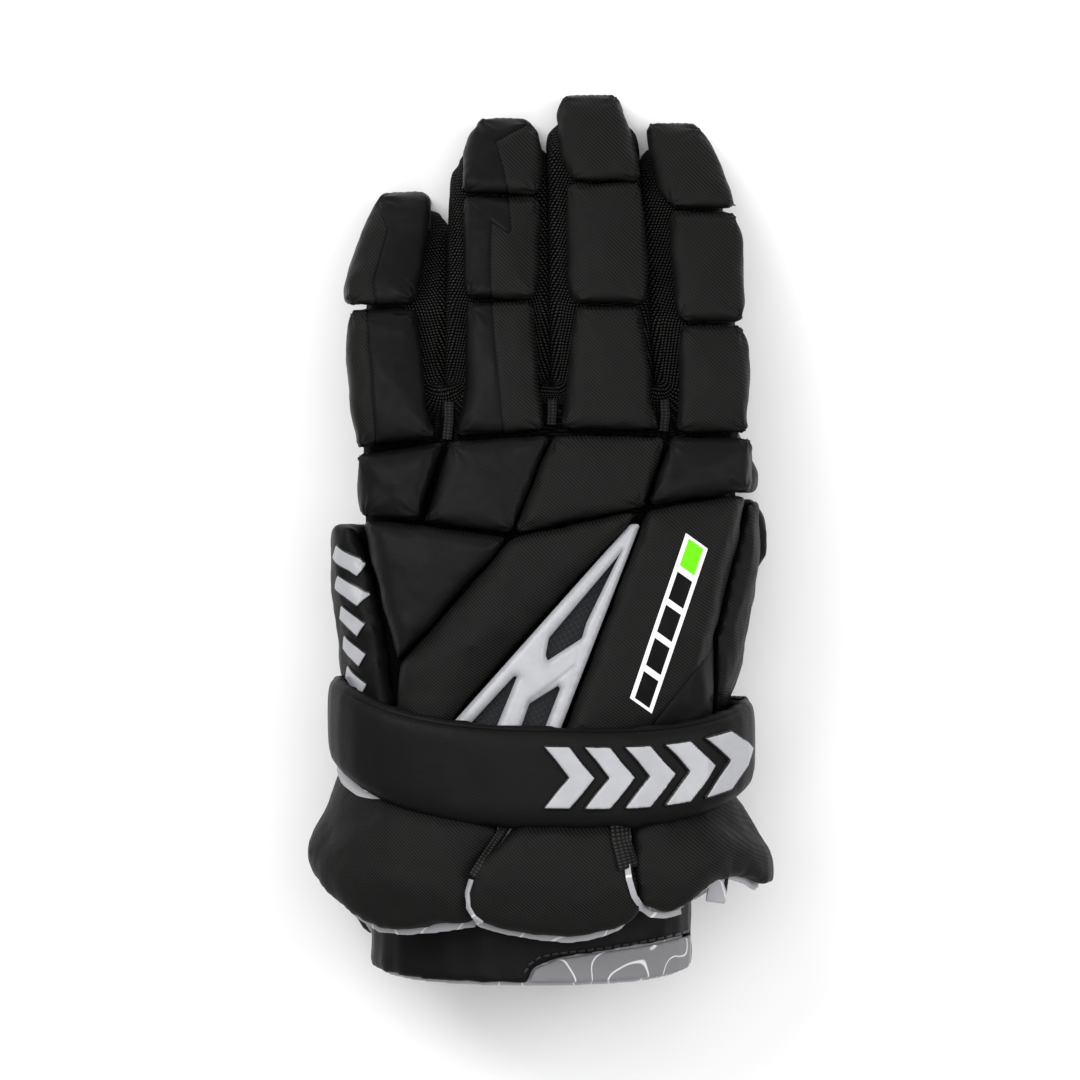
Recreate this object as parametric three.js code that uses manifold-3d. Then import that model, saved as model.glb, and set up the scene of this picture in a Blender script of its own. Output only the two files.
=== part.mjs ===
// A padded lacrosse glove for a left hand, lying palm down with its thumb folded under the palm.
// Millimetres: X across the hand towards the thumb side, Y towards the finger tips, Z up from the floor.
import * as THREE from "three";
import Module from "manifold-3d";
import { mergeVertices } from "three/addons/utils/BufferGeometryUtils.js";

const wasm = await Module();
wasm.setup();
const { lerp, clamp, degToRad } = THREE.MathUtils;

// Lengths along the glove
const SLEEVE_LENGTH = 87;
const HAND_LENGTH = 128;
const WEB_DEPTH = 6;

// The hand at the wrist seam and at the finger crotches
const WRIST_WIDTH = 120;
const WRIST_HEIGHT = 84;
const WRIST_LIFT = 8;
const WRIST_SHIFT = -3.7;
const KNUCKLE_SHIFT = 4.3;
const KNUCKLE_RISE = 42;
const KNUCKLE_ARCH = 7;

// Fingers
const FINGER_LENGTH = 115.4;
const FINGER_WIDTH = 36;
const FINGER_HEIGHT = 27;
const FINGER_GAP = 3;
const FINGER_CURL = 1.35;
const LANE_SIDE = 1.3;
const TIP_SINK = 1.5;
const TUBE_END = 0.95;

// Walls, pads and the room between pieces
const WALL = 3;
const SEAM_GAP = 0.4;
const CLEARANCE = 0.35;
const GROOVE = 1.8;
const PINCH = 3.5;
const FINGER_PAD = 11;
const HAND_PAD = 12.5;
const SIDE_PAD = 11.5;
const PAD_EDGE = 4;
const PAD_CROWN = 1;
const RIM = 0.6;
const PAD_SINK = 6;
const TIP_WRAP = 16;

// Thumb
const THUMB_LENGTH = 98;
const THUMB_SETBACK = 28;
const THUMB_WIDTH = 38;
const THUMB_HEIGHT = 36;
const THUMB_PAD = 8;
const THUMB_PAD_REACH = 56;
const THUMB_NOSE = 0.93;

// Wrist strap
const STRAP_WIDTH = 38;
const STRAP_THICKNESS = 6.5;
const STRAP_PALM_THICKNESS = 4.5;
const STRAP_SETBACK = 6.5;
const STRAP_SAG = 17;
const STRAP_TILT = 4;
const STRAP_SIDE_ROOM = 13;
const STRAP_SHIFT = 3;
const STRAP_TOP_ROOM = 10.5;
const STRAP_PALM_ROOM = 1;

// Flared cuff and the sleeve inside it
const CUFF_SETBACK = 3;
const CUFF_LENGTH = 69;
const CUFF_FLARE = 19.5;
const CUFF_TOP_FLARE = 9;
const CUFF_PAD = 9;
const CUFF_LINING = 1.6;
const LINING_REVEAL = 1.6;
const MOUTH_SLOPE = 6;
const SLEEVE_WALL = 3;
const SLEEVE_LINING = 1.4;
const HEM_REVEAL = 1.2;
const PATCH_HEIGHT = 19;

// Vent panel on the back of the hand
const VENT_BED = 5;
const VENT_FRAME = 3.4;
const VENT_BLUNT = 0.06;

// Raised chevrons along the strap
const MARK_RELIEF = 1.2;
const CHEVRONS = 5;
const CHEVRON_BAR = 9;
const CHEVRON_REACH = 9;
const CHEVRON_PITCH = 14.6;
const CHEVRON_START = 1;
const CHEVRON_SPREAD = 0.3;

// How finely the curved pieces are faceted
const HAND_POINTS = 18;
const FINGER_POINTS = 12;
const SIDE_COLUMNS = 6;
const SIDE_ROWS = 5;

// Each finger's width and length, and how far its tip leans towards the thumb side, as shares of the
// sizes above. Its pads have one row for each change of outline, as shares of its own length and half
// its own width, with a groove at each joint
const FINGERS = [
  {
    name: "little",
    wide: 0.889,
    long: 0.685,
    lean: 0.083,
    rows: [
      { along: 0, left: -1.14, right: 0.63 },
      { along: 0.25, left: -1.27, right: 0.48 },
      { along: 0.465, left: -1.2, right: 0.27, joint: true },
      { along: 0.56, left: -1.27, right: 0.36 },
      { along: 0.8, left: -0.98, right: 0.53 },
      { along: 0.94, left: -0.7, right: 0.54 },
      { along: 1, left: -0.57, right: 0.41 },
    ],
  },
  {
    name: "ring",
    wide: 1.014,
    long: 0.923,
    lean: 0.042,
    rows: [
      { along: 0, left: -0.7, right: 0.86 },
      { along: 0.2, left: -0.67, right: 0.78 },
      { along: 0.365, left: -0.67, right: 0.7, joint: true },
      { along: 0.6, left: -0.71, right: 0.74 },
      { along: 0.738, left: -0.71, right: 0.71, joint: true },
      { along: 0.79, left: -0.79, right: 0.75 },
      { along: 0.88, left: -0.74, right: 0.81 },
      { along: 0.95, left: -0.62, right: 0.68 },
      { along: 1, left: -0.41, right: 0.51 },
    ],
  },
  {
    name: "middle",
    wide: 0.986,
    long: 1,
    lean: -0.125,
    rows: [
      { along: 0, left: -0.79, right: 1.0 },
      { along: 0.2, left: -0.63, right: 0.97 },
      { along: 0.323, left: -0.46, right: 0.86, joint: true },
      { along: 0.38, left: -0.56, right: 0.95 },
      { along: 0.6, left: -0.52, right: 0.95 },
      { along: 0.722, left: -0.46, right: 0.88, joint: true },
      { along: 0.79, left: -0.62, right: 0.91 },
      { along: 0.93, left: -0.68, right: 0.65 },
      { along: 1, left: -0.51, right: 0.49 },
    ],
  },
  {
    name: "index",
    wide: 0.944,
    long: 0.91,
    lean: -0.25,
    rows: [
      { along: 0, left: -0.52, right: 1.0 },
      { along: 0.2, left: -0.44, right: 1.13 },
      { along: 0.288, left: -0.3, right: 0.97, joint: true },
      { along: 0.35, left: -0.4, right: 1.07 },
      { along: 0.6, left: -0.36, right: 1.14 },
      { along: 0.695, left: -0.26, right: 1.02, joint: true },
      { along: 0.76, left: -0.52, right: 0.97 },
      { along: 0.93, left: -0.68, right: 0.68 },
      { along: 1, left: -0.6, right: 0.38 },
    ],
  },
];
for (const finger of FINGERS) {
  finger.width = finger.wide * FINGER_WIDTH;
  finger.length = finger.long * FINGER_LENGTH;
}
const KNUCKLE_WIDTH =
  FINGERS.reduce((sum, finger) => sum + finger.width, 0) + FINGER_GAP * (FINGERS.length - 1);

// The hand between the wrist and the crotches: how far it has widened, flattened and risen by then
const HAND_SECTIONS = [
  { along: 0, widen: 0, flatten: 0, rise: 0, power: 2.5 },
  { along: 0.4, widen: 0.4, flatten: 0.35, rise: 0.45, power: 2.6 },
  { along: 0.75, widen: 0.85, flatten: 0.75, rise: 0.8, power: 3 },
  { along: 1, widen: 1, flatten: 1, rise: 1, power: 3.4 },
];
const FINGER_SECTIONS = [
  { along: 0, width: 1, height: 1 },
  { along: 0.5, width: 0.97, height: 0.97 },
  { along: 0.8, width: 0.88, height: 0.92 },
  { along: 0.9, width: 0.72, height: 0.8 },
  { along: TUBE_END, width: 0.45, height: 0.52 },
];
// The thumb: how far out it lies, as a share of half the knuckles, and its centre, in its own heights
const THUMB_SECTIONS = [
  { along: 0, out: 0.56, lift: 1.2, size: 1.05 },
  { along: 0.4, out: 0.7, lift: 0.74, size: 1 },
  { along: 0.7, out: 0.68, lift: 0.5, size: 1 },
  { along: 0.9, out: 0.62, lift: 0.44, size: 0.84 },
  { along: 1, out: 0.59, lift: 0.38, size: 0.48 },
];
// The bell of the cuff: how far it has flared, and drifted from the wrist's centre to the glove's
const BELL_SECTIONS = [
  { along: 0, flare: 0, drift: 0 },
  { along: 0.15, flare: 0.08, drift: 0.1 },
  { along: 0.3, flare: 0.3, drift: 0.25 },
  { along: 0.5, flare: 0.8, drift: 0.5 },
  { along: 0.7, flare: 1, drift: 1 },
  { along: 1, flare: 1.03, drift: 1 },
];

// Corners where the grooves of the back meet, as shares of half the hand's width and of its length
const CORNERS = {
  knuckle0: [-0.99, 0.865],
  knuckle1: [-0.535, 0.895],
  knuckle2: [0.01, 0.918],
  knuckle3: [0.605, 0.914],
  knuckle4: [1.015, 0.906],
  back0: [-0.985, 0.668],
  back1: [-0.66, 0.653],
  back2: [-0.18, 0.615],
  back3: [0.525, 0.698],
  back4: [1.05, 0.745],
  triangleTip: [-0.815, 0.242],
  outerEdge: [-0.84, 0],
  ventLeft: [-0.645, 0],
  ventRight: [0.155, 0],
  sideBend: [1.02, 0.318],
  sideEnd: [1.12, 0],
};
const HAND_PADS = [
  { name: "little_knuckle_pad", corners: ["knuckle0", "knuckle1", "back1", "back0"] },
  { name: "ring_knuckle_pad", corners: ["knuckle1", "knuckle2", "back2", "back1"] },
  { name: "middle_knuckle_pad", corners: ["knuckle2", "knuckle3", "back3", "back2"] },
  { name: "index_knuckle_pad", corners: ["knuckle3", "knuckle4", "back4", "back3"] },
  { name: "triangle_back_pad", corners: ["back0", "back1", "back2", "triangleTip"] },
  { name: "diagonal_back_pad", corners: ["back2", "back3", "ventLeft", "outerEdge", "triangleTip"] },
  { name: "index_back_pad", corners: ["back3", "back4", "sideBend", "sideEnd", "ventRight"] },
];
// Pads that wrap round the two sides of the hand: angles from the thumb side, over the back
const SIDE_PADS = [
  {
    name: "outer_side_pad",
    rows: [
      { along: 0.655, from: 156, to: 218 },
      { along: 0.24, from: 143, to: 220 },
      { along: 0, from: 140, to: 216 },
    ],
  },
  {
    name: "inner_side_pad",
    rows: [
      { along: 0.72, from: 24, to: -24 },
      { along: 0.32, from: 32, to: -14 },
      { along: 0, from: 32, to: -30 },
    ],
  },
];

// Cuff lobes: the angles of their two edges under the strap and at the far end, and how far they reach
// from one edge to the other, as shares of the cuff's length
const LOBES = [
  {
    name: "little_side_lobe",
    start: [188, 91.5],
    end: [183, 103.8],
    reach: [0.5, 0.61, 0.68, 0.76, 0.85, 0.92, 0.935, 0.92, 0.89],
  },
  {
    name: "back_lobe",
    start: [89.5, 71],
    end: [102.5, 70.1],
    reach: [0.77, 0.89, 0.93, 0.96, 0.975, 0.965, 0.94, 0.905, 0.83],
  },
  {
    name: "thumb_side_lobe",
    start: [64, -6],
    end: [68.7, -3],
    reach: [0.79, 0.845, 0.73, 0.66, 0.64, 0.665, 0.7, 0.685, 0.6],
  },
  {
    name: "palm_thumb_lobe",
    start: [-10, -76],
    end: [-8, -80],
    reach: [0.52, 0.56, 0.585, 0.62, 0.73, 0.8, 0.84, 0.84, 0.78],
  },
  {
    name: "palm_little_lobe",
    start: [256, 192],
    end: [260, 190],
    reach: [0.78, 0.86, 0.93, 0.98, 0.985, 0.84, 0.68, 0.6, 0.5],
  },
];

// Places along Y, with the whole glove's length centred on the origin
const longestFinger = Math.max(...FINGERS.map((finger) => finger.length));
const Y_MOUTH = -(SLEEVE_LENGTH + HAND_LENGTH + longestFinger) / 2;
const Y_WRIST = Y_MOUTH + SLEEVE_LENGTH;
const Y_CROTCH = Y_WRIST + HAND_LENGTH;
const Y_CUFF = Y_WRIST - CUFF_SETBACK;

let fingerEdge = KNUCKLE_SHIFT - KNUCKLE_WIDTH / 2;
for (const finger of FINGERS) {
  finger.x = fingerEdge + finger.width / 2;
  fingerEdge += finger.width + FINGER_GAP;
}

// A table's row at any place along it, each column read between the two nearest rows
function rowAt(table, along) {
  let k = 0;
  while (k < table.length - 2 && along > table[k + 1].along) k++;
  const [before, after] = [table[k], table[k + 1]];
  const share = clamp((along - before.along) / (after.along - before.along), 0, 1);
  const row = {};
  for (const column of Object.keys(before)) row[column] = lerp(before[column], after[column], share);
  return row;
}

// The value at a share of the way along an evenly spaced list
function listAt(list, share) {
  const place = clamp(share, 0, 1) * (list.length - 1);
  const k = Math.min(Math.floor(place), list.length - 2);
  return lerp(list[k], list[k + 1], place - k);
}

// How far the hand's cross arch has dropped at x, where arch is 1 at the knuckles
const archDrop = (x, arch) => KNUCKLE_ARCH * arch * ((x - KNUCKLE_SHIFT) / (KNUCKLE_WIDTH / 2)) ** 2;

function handSection(along) {
  const row = rowAt(HAND_SECTIONS, along);
  const height = lerp(WRIST_HEIGHT, FINGER_HEIGHT, row.flatten);
  return {
    x: lerp(WRIST_SHIFT, KNUCKLE_SHIFT, clamp(along, 0, 1)),
    y: Y_WRIST + HAND_LENGTH * along,
    z: lerp(WRIST_LIFT, KNUCKLE_RISE, row.rise) + height / 2,
    width: lerp(WRIST_WIDTH, KNUCKLE_WIDTH, row.widen),
    height,
    power: row.power,
    arch: clamp(along, 0, 1),
  };
}

function fingerSection(finger, along) {
  const row = rowAt(FINGER_SECTIONS, along);
  const height = FINGER_HEIGHT * row.height;
  const drop = (KNUCKLE_RISE + TIP_SINK) * (clamp(along, 0, TUBE_END) / TUBE_END) ** FINGER_CURL;
  return {
    x: finger.x + finger.lean * FINGER_WIDTH * along,
    y: Y_CROTCH + finger.length * along,
    z: KNUCKLE_RISE - drop + height / 2 + (FINGER_HEIGHT - height) / 5,
    width: finger.width * row.width,
    height,
    power: 3,
    arch: 1 - clamp(along, 0, 1),
  };
}

function thumbSection(along) {
  const row = rowAt(THUMB_SECTIONS, along);
  return {
    x: KNUCKLE_SHIFT + (row.out * KNUCKLE_WIDTH) / 2,
    y: Y_WRIST + THUMB_SETBACK + THUMB_LENGTH * along,
    z: THUMB_HEIGHT * row.lift,
    width: THUMB_WIDTH * row.size,
    height: THUMB_HEIGHT * row.size,
    power: 2.6,
    arch: 0,
  };
}

function bellSection(along) {
  const row = rowAt(BELL_SECTIONS, along);
  const height = WRIST_HEIGHT + 2 * CLEARANCE + CUFF_TOP_FLARE * row.flare;
  return {
    x: lerp(WRIST_SHIFT, 0, row.drift),
    y: Y_CUFF - CUFF_LENGTH * along,
    z: WRIST_LIFT - CLEARANCE + height / 2,
    width: WRIST_WIDTH + 2 * CLEARANCE + 2 * CUFF_FLARE * row.flare,
    height,
    power: 2.5,
    arch: 0,
  };
}

// A point on a section at an angle from +X towards +Z, moved out by grow
function sectionPoint(section, angle, grow = 0) {
  const bend = (value) => Math.sign(value) * Math.abs(value) ** (2 / section.power);
  const x = section.x + (section.width / 2 + grow) * bend(Math.cos(angle));
  const z = section.z + (section.height / 2 + grow) * bend(Math.sin(angle));
  return new THREE.Vector3(x, section.y, z - archDrop(x, section.arch));
}

const sectionRing = (section, count, grow) =>
  Array.from({ length: count }, (_, i) => sectionPoint(section, (2 * Math.PI * i) / count, grow));

// The height of a section's upper side at x; a low ease keeps it flat towards the edges
function crest(section, x, ease = 1) {
  const share = clamp(Math.abs((x - section.x) / (section.width / 2)) * ease, 0, 0.9);
  const bulge = (1 - share ** section.power) ** (1 / section.power);
  return section.z + (section.height / 2) * bulge - archDrop(x, section.arch);
}

// A closed solid from points and triangles, turned so that its faces point out
function solidFrom(points, faces) {
  const volume = faces.reduce(
    (sum, [a, b, c]) => sum + points[a].dot(points[b].clone().cross(points[c])),
    0,
  );
  const turned = volume < 0 ? faces.map(([a, b, c]) => [a, c, b]) : faces;
  return new wasm.Manifold(
    new wasm.Mesh({
      numProp: 3,
      vertProperties: new Float32Array(points.flatMap((p) => [p.x, p.y, p.z])),
      triVerts: new Uint32Array(turned.flat()),
    }),
  );
}

// A solid through rings of equal count, each end closed by a fan round its centre
function loft(rings, firstCentre, lastCentre) {
  const count = rings[0].length;
  const points = rings.flat();
  const faces = [];
  for (let r = 0; r + 1 < rings.length; r++)
    for (let i = 0; i < count; i++) {
      const next = (i + 1) % count;
      const [a, b, c, d] = [r * count + i, r * count + next, (r + 1) * count + next, (r + 1) * count + i];
      faces.push([a, c, b], [a, d, c]);
    }
  const middle = (ring) => ring.reduce((sum, p) => sum.add(p), new THREE.Vector3()).divideScalar(count);
  points.push(firstCentre ?? middle(rings[0]), lastCentre ?? middle(rings.at(-1)));
  const [first, last] = [points.length - 2, points.length - 1];
  const lastRing = (rings.length - 1) * count;
  for (let i = 0; i < count; i++) {
    const next = (i + 1) % count;
    faces.push([first, i, next], [last, lastRing + next, lastRing + i]);
  }
  return solidFrom(points, faces);
}

// A solid between two grids of points, the second over the first; a closed one runs round in a ring
function slab(columns, rows, under, over, closed = false) {
  const points = [];
  for (const surface of [under, over])
    for (let i = 0; i < columns; i++) for (let j = 0; j < rows; j++) points.push(surface(i, j));
  const at = (level, i, j) => level * columns * rows + (i % columns) * rows + j;
  const faces = [];
  const quad = (a, b, c, d) => faces.push([a, b, c], [a, c, d]);
  const spans = closed ? columns : columns - 1;
  for (let i = 0; i < spans; i++) {
    for (let j = 0; j + 1 < rows; j++) {
      quad(at(0, i, j), at(0, i, j + 1), at(0, i + 1, j + 1), at(0, i + 1, j));
      quad(at(1, i, j), at(1, i + 1, j), at(1, i + 1, j + 1), at(1, i, j + 1));
    }
    quad(at(0, i, 0), at(0, i + 1, 0), at(1, i + 1, 0), at(1, i, 0));
    quad(at(0, i + 1, rows - 1), at(0, i, rows - 1), at(1, i, rows - 1), at(1, i + 1, rows - 1));
  }
  if (!closed)
    for (let j = 0; j + 1 < rows; j++) {
      quad(at(0, 0, j + 1), at(0, 0, j), at(1, 0, j), at(1, 0, j + 1));
      quad(at(0, columns - 1, j), at(0, columns - 1, j + 1), at(1, columns - 1, j + 1), at(1, columns - 1, j));
    }
  return solidFrom(points, faces);
}

// An upright prism over an outline in plan, between two heights that may vary from place to place
function prism(outline, lowAt, highAt, holes = []) {
  const all = [outline, ...holes].flat();
  const triangles = THREE.ShapeUtils.triangulateShape(outline, holes);
  const count = all.length;
  const points = [lowAt, highAt].flatMap((heightAt) =>
    all.map((p) => new THREE.Vector3(p.x, p.y, heightAt(p.x, p.y))),
  );
  const faces = triangles.flatMap(([a, b, c]) => [
    [a + count, b + count, c + count],
    [a, c, b],
  ]);
  let start = 0;
  for (const loop of [outline, ...holes]) {
    loop.forEach((_, i) => {
      const [a, b] = [start + i, start + ((i + 1) % loop.length)];
      const inOrder = triangles.some((t) => t.some((v, k) => v === a && t[(k + 1) % 3] === b));
      const [from, to] = inOrder ? [a, b] : [b, a];
      faces.push([from, to, to + count], [from, to + count, from + count]);
    });
    start += loop.length;
  }
  return solidFrom(points, faces);
}

const everywhere = (height) => () => height;
const FAR = 300;
const WELD = 1e-3;

const join = (solids) => solids.reduce((sum, solid) => sum.add(solid));
const cut = (solid, ...cutters) => cutters.reduce((rest, cutter) => rest.subtract(cutter), solid);

// The largest body of a solid, without the crumbs that a cut can leave
function mainBody(solid) {
  const bodies = solid.decompose();
  return bodies.reduce((best, body) => (body.volume() > best.volume() ? body : best));
}

// The outline moved in by a distance, each corner where its two moved edges meet
function inset(outline, distance) {
  const turn = Math.sign(THREE.ShapeUtils.area(outline));
  return outline.map((p, i) => {
    const before = outline.at(i - 1);
    const after = outline[(i + 1) % outline.length];
    const into = p.clone().sub(before).normalize();
    const away = after.clone().sub(p).normalize();
    const sideways = new THREE.Vector2(-into.y - away.y, into.x + away.x);
    const reach = 2 / Math.max(sideways.lengthSq(), 0.8);
    return p.clone().addScaledVector(sideways, turn * distance * reach);
  });
}

// The hollow hand: outer volumes, the same volumes one wall smaller, and their envelope
function handVolume(grow, overrun = 0) {
  const rings = HAND_SECTIONS.map((row) => sectionRing(handSection(row.along), HAND_POINTS, grow));
  rings[0].forEach((p) => (p.y -= overrun));
  const web = handSection(1);
  web.y += WEB_DEPTH + grow;
  web.width -= WEB_DEPTH;
  web.height -= WEB_DEPTH * 1.4;
  rings.push(sectionRing(web, HAND_POINTS, grow));
  return loft(rings);
}

function fingerVolume(finger, grow) {
  const joints = finger.rows.filter((row) => row.joint).map((row) => row.along);
  const stations = [0, ...joints, ...FINGER_SECTIONS.map((row) => row.along).filter((a) => a > joints.at(-1))];
  const rings = stations.map((along) => sectionRing(fingerSection(finger, along), FINGER_POINTS, grow));
  rings[0].forEach((p) => (p.y -= WEB_DEPTH));
  rings.at(-1).forEach((p) => (p.y += grow));
  return loft(rings);
}

function thumbVolume(grow) {
  const rings = THUMB_SECTIONS.map((row) => sectionRing(thumbSection(row.along), FINGER_POINTS, grow));
  rings.at(-1).forEach((p) => (p.y += grow));
  return loft(rings);
}

const handAndFingers = (grow, overrun) =>
  join([handVolume(grow, overrun), ...FINGERS.map((finger) => fingerVolume(finger, grow))]);

const mouthFloor = prism(
  [
    new THREE.Vector2(-FAR, -FAR),
    new THREE.Vector2(FAR, -FAR),
    new THREE.Vector2(FAR, FAR),
    new THREE.Vector2(-FAR, FAR),
  ],
  everywhere(-FAR),
  everywhere(0),
);
const onFloor = (solid) => solid.subtract(mouthFloor);

const envelope = handAndFingers(CLEARANCE, 0);
const thumbEnvelope = thumbVolume(CLEARANCE);
const handHollow = handAndFingers(-WALL, WALL);
const thumbHollow = thumbVolume(-WALL);
const handShell = onFloor(cut(handAndFingers(0, 0), handHollow, thumbHollow));
const thumbShell = onFloor(cut(thumbVolume(0), thumbHollow, envelope));

// Lines that part the fingers, as shares of half the knuckles' width: one in each gap and one beyond each side
const laneEdges = [-LANE_SIDE];
for (const finger of FINGERS.slice(0, -1)) {
  const gap = finger.x + finger.width / 2 + FINGER_GAP / 2;
  laneEdges.push((gap - KNUCKLE_SHIFT) / (KNUCKLE_WIDTH / 2));
}
laneEdges.push(LANE_SIDE);

// Everything under a seam that runs along the walls at a share of their height, finger lane by finger lane
function underSeam(share, shift) {
  const lanes = FINGERS.map((finger, k) => {
    const handRows = [-0.1, ...HAND_SECTIONS.map((row) => row.along)];
    const joints = finger.rows.filter((row) => row.joint).map((row) => row.along);
    const sections = [
      ...handRows.map((along) => handSection(along)),
      ...[...joints, 0.8, 1.1].map((along) => ({ ...fingerSection(finger, along), past: along })),
    ];
    const point = (i, j, fixed) => {
      const section = sections[j];
      const across = laneEdges[k + i] * (section.past ? KNUCKLE_WIDTH : section.width) * 0.5;
      const x = section.past ? KNUCKLE_SHIFT + across + finger.lean * FINGER_WIDTH * section.past : section.x + across;
      const seam = section.z + section.height * (share - 0.5) + shift;
      return new THREE.Vector3(x, section.y, fixed ?? seam - archDrop(x, section.arch));
    };
    return slab(2, sections.length, (i, j) => point(i, j, -FAR), (i, j) => point(i, j));
  });
  return join(lanes);
}

const PALM_SEAM = 0.3;
const BACK_SEAM = 0.8;

function palmLeather() {
  return mainBody(handShell.intersect(underSeam(PALM_SEAM, 0)));
}

function backLiner() {
  return mainBody(cut(handShell, underSeam(BACK_SEAM, 0)));
}

// The walls between palm and back, parted down the middle of each finger tip: the two outer sides
// and the three mesh gussets that turn in the crotches
function sideWalls() {
  const walls = cut(handShell.intersect(underSeam(BACK_SEAM, -SEAM_GAP)), underSeam(PALM_SEAM, SEAM_GAP));
  const centreLine = (finger, side) => {
    const past = 1.2;
    const shift = (side * SEAM_GAP) / 2;
    return [
      new THREE.Vector2(finger.x + shift, Y_WRIST - WALL),
      new THREE.Vector2(finger.x + shift, Y_CROTCH),
      new THREE.Vector2(finger.x + shift + finger.lean * FINGER_WIDTH * past, Y_CROTCH + finger.length * past),
    ];
  };
  const lines = FINGERS.map((finger) => [centreLine(finger, -1), centreLine(finger, 1)]);
  const edge = (x) => [new THREE.Vector2(x, Y_WRIST - WALL), new THREE.Vector2(x, FAR)];
  const lanes = [[edge(-FAR), lines[0][0]]];
  for (let k = 0; k + 1 < FINGERS.length; k++) lanes.push([lines[k][1], lines[k + 1][0]]);
  lanes.push([lines.at(-1)[1], edge(FAR)]);
  return lanes.map(([left, right]) => {
    const outline = [...left, ...[...right].reverse()];
    return mainBody(walls.intersect(prism(outline, everywhere(-FAR), everywhere(FAR))));
  });
}

// The two halves of the thumb, parted along its middle
function thumbHalves() {
  const half = (side) => {
    const rows = [-0.3, ...THUMB_SECTIONS.map((row) => row.along), 1.3];
    const point = (i, j, z) => {
      const section = thumbSection(rows[j]);
      return new THREE.Vector3(section.x + side * (SEAM_GAP / 2 + i * THUMB_WIDTH * 2), section.y, z);
    };
    return slab(2, rows.length, (i, j) => point(i, j, -FAR), (i, j) => point(i, j, FAR));
  };
  return [-1, 1].map((side) => mainBody(thumbShell.intersect(half(side))));
}

// The strap's section at an angle: it sags towards the sleeve over the back, and leans a little
const strapInner = {
  x: WRIST_SHIFT + STRAP_SHIFT,
  z: WRIST_LIFT + (WRIST_HEIGHT + STRAP_TOP_ROOM - STRAP_PALM_ROOM) / 2,
  width: WRIST_WIDTH + 2 * STRAP_SIDE_ROOM,
  height: WRIST_HEIGHT + STRAP_TOP_ROOM + STRAP_PALM_ROOM,
  power: 2.8,
  arch: 0,
};
const STRAP_COLUMNS = 30;
const STRAP_EDGES = [-0.5 - CLEARANCE / STRAP_WIDTH, 0.5 + CLEARANCE / STRAP_WIDTH];
const STRAP_PROFILE = [
  { across: -0.5, swell: 0.45 },
  { across: -0.38, swell: 1 },
  { across: 0.38, swell: 1 },
  { across: 0.5, swell: 0.45 },
];

function strapCentre(angle) {
  const back = Math.max(Math.sin(angle), 0);
  return Y_WRIST + STRAP_SETBACK - STRAP_SAG * back ** 1.5 - STRAP_TILT * Math.cos(angle);
}
const strapWidth = (angle) => STRAP_WIDTH * (0.86 + 0.14 * Math.max(Math.sin(angle), 0));
const strapThickness = (angle) =>
  lerp(STRAP_PALM_THICKNESS, STRAP_THICKNESS, clamp(0.5 + Math.sin(angle), 0, 1));

function strapPoint(angle, across, grow) {
  const point = sectionPoint(strapInner, angle, grow);
  point.y = strapCentre(angle) + across * strapWidth(angle);
  return point;
}

// The strap between an inner and an outer surface that are moved out by these, and its width with them
function strapRing(inner, outer) {
  const angle = (i) => (2 * Math.PI * i) / STRAP_COLUMNS;
  const across = (j) => STRAP_PROFILE[j].across * (1 + (2 * outer) / STRAP_WIDTH);
  return slab(
    STRAP_COLUMNS,
    STRAP_PROFILE.length,
    (i, j) => strapPoint(angle(i), across(j), inner),
    (i, j) => strapPoint(angle(i), across(j), outer + strapThickness(angle(i)) * STRAP_PROFILE[j].swell),
    true,
  );
}
const wristStrap = strapRing(0, 0);

// All that lies under the strap ends at its edges, and at its inner surface
const underStrap = slab(
  STRAP_COLUMNS,
  2,
  (i, j) => strapPoint((2 * Math.PI * i) / STRAP_COLUMNS, STRAP_EDGES[j], -CLEARANCE),
  (i, j) => strapPoint((2 * Math.PI * i) / STRAP_COLUMNS, STRAP_EDGES[j], FAR),
  true,
);

// A pad on the back: an outline in plan, rounded over at its upper edge and crowned in the middle,
// with its underside cut to what it lies on
function pad(outline, heights, thickness) {
  const levels = [
    { rise: -1, inset: 0 },
    { rise: thickness - PAD_EDGE, inset: 0 },
    { rise: thickness - PAD_EDGE * 0.3, inset: PAD_EDGE * 0.3 },
    { rise: thickness, inset: PAD_EDGE },
  ];
  const rings = levels.map((level) =>
    inset(outline, level.inset).map((p) => {
      const z = level.rise < 0 ? heights.low(p.x, p.y) : heights.top(p.x, p.y) + level.rise;
      return new THREE.Vector3(p.x, p.y, z);
    }),
  );
  const middle = outline.reduce((sum, p) => sum.add(p), new THREE.Vector2()).divideScalar(outline.length);
  const centre = (z) => new THREE.Vector3(middle.x, middle.y, z);
  const body = loft(
    rings,
    centre(heights.low(middle.x, middle.y)),
    centre(heights.top(middle.x, middle.y) + thickness + PAD_CROWN),
  );
  return mainBody(onFloor(cut(body, envelope, thumbEnvelope, underStrap)));
}

// The outlines of the pads on one finger, from the knuckle groove to the tip
function fingerPadOutlines(finger, k) {
  const place = (row, side) => {
    const section = fingerSection(finger, row.along);
    return new THREE.Vector2(section.x + (row[side] * finger.width) / 2, section.y);
  };
  const outlines = [];
  let rows = [];
  for (const row of finger.rows) {
    rows.push(row);
    if (row.joint || row === finger.rows.at(-1)) {
      const left = rows.map((r) => place(r, "left"));
      const right = rows.map((r) => place(r, "right")).reverse();
      outlines.push([...left, ...right]);
      rows = [row];
    }
  }
  const [from, to] = [corner(`knuckle${k}`), corner(`knuckle${k + 1}`)];
  const along = to.clone().sub(from).normalize();
  outlines[0].unshift(from.clone().addScaledVector(along, k ? PINCH : 0));
  outlines[0].push(to.clone().addScaledVector(along, k + 1 < FINGERS.length ? -PINCH : 0));
  return outlines.map((outline) => inset(outline, GROOVE / 2));
}

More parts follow.
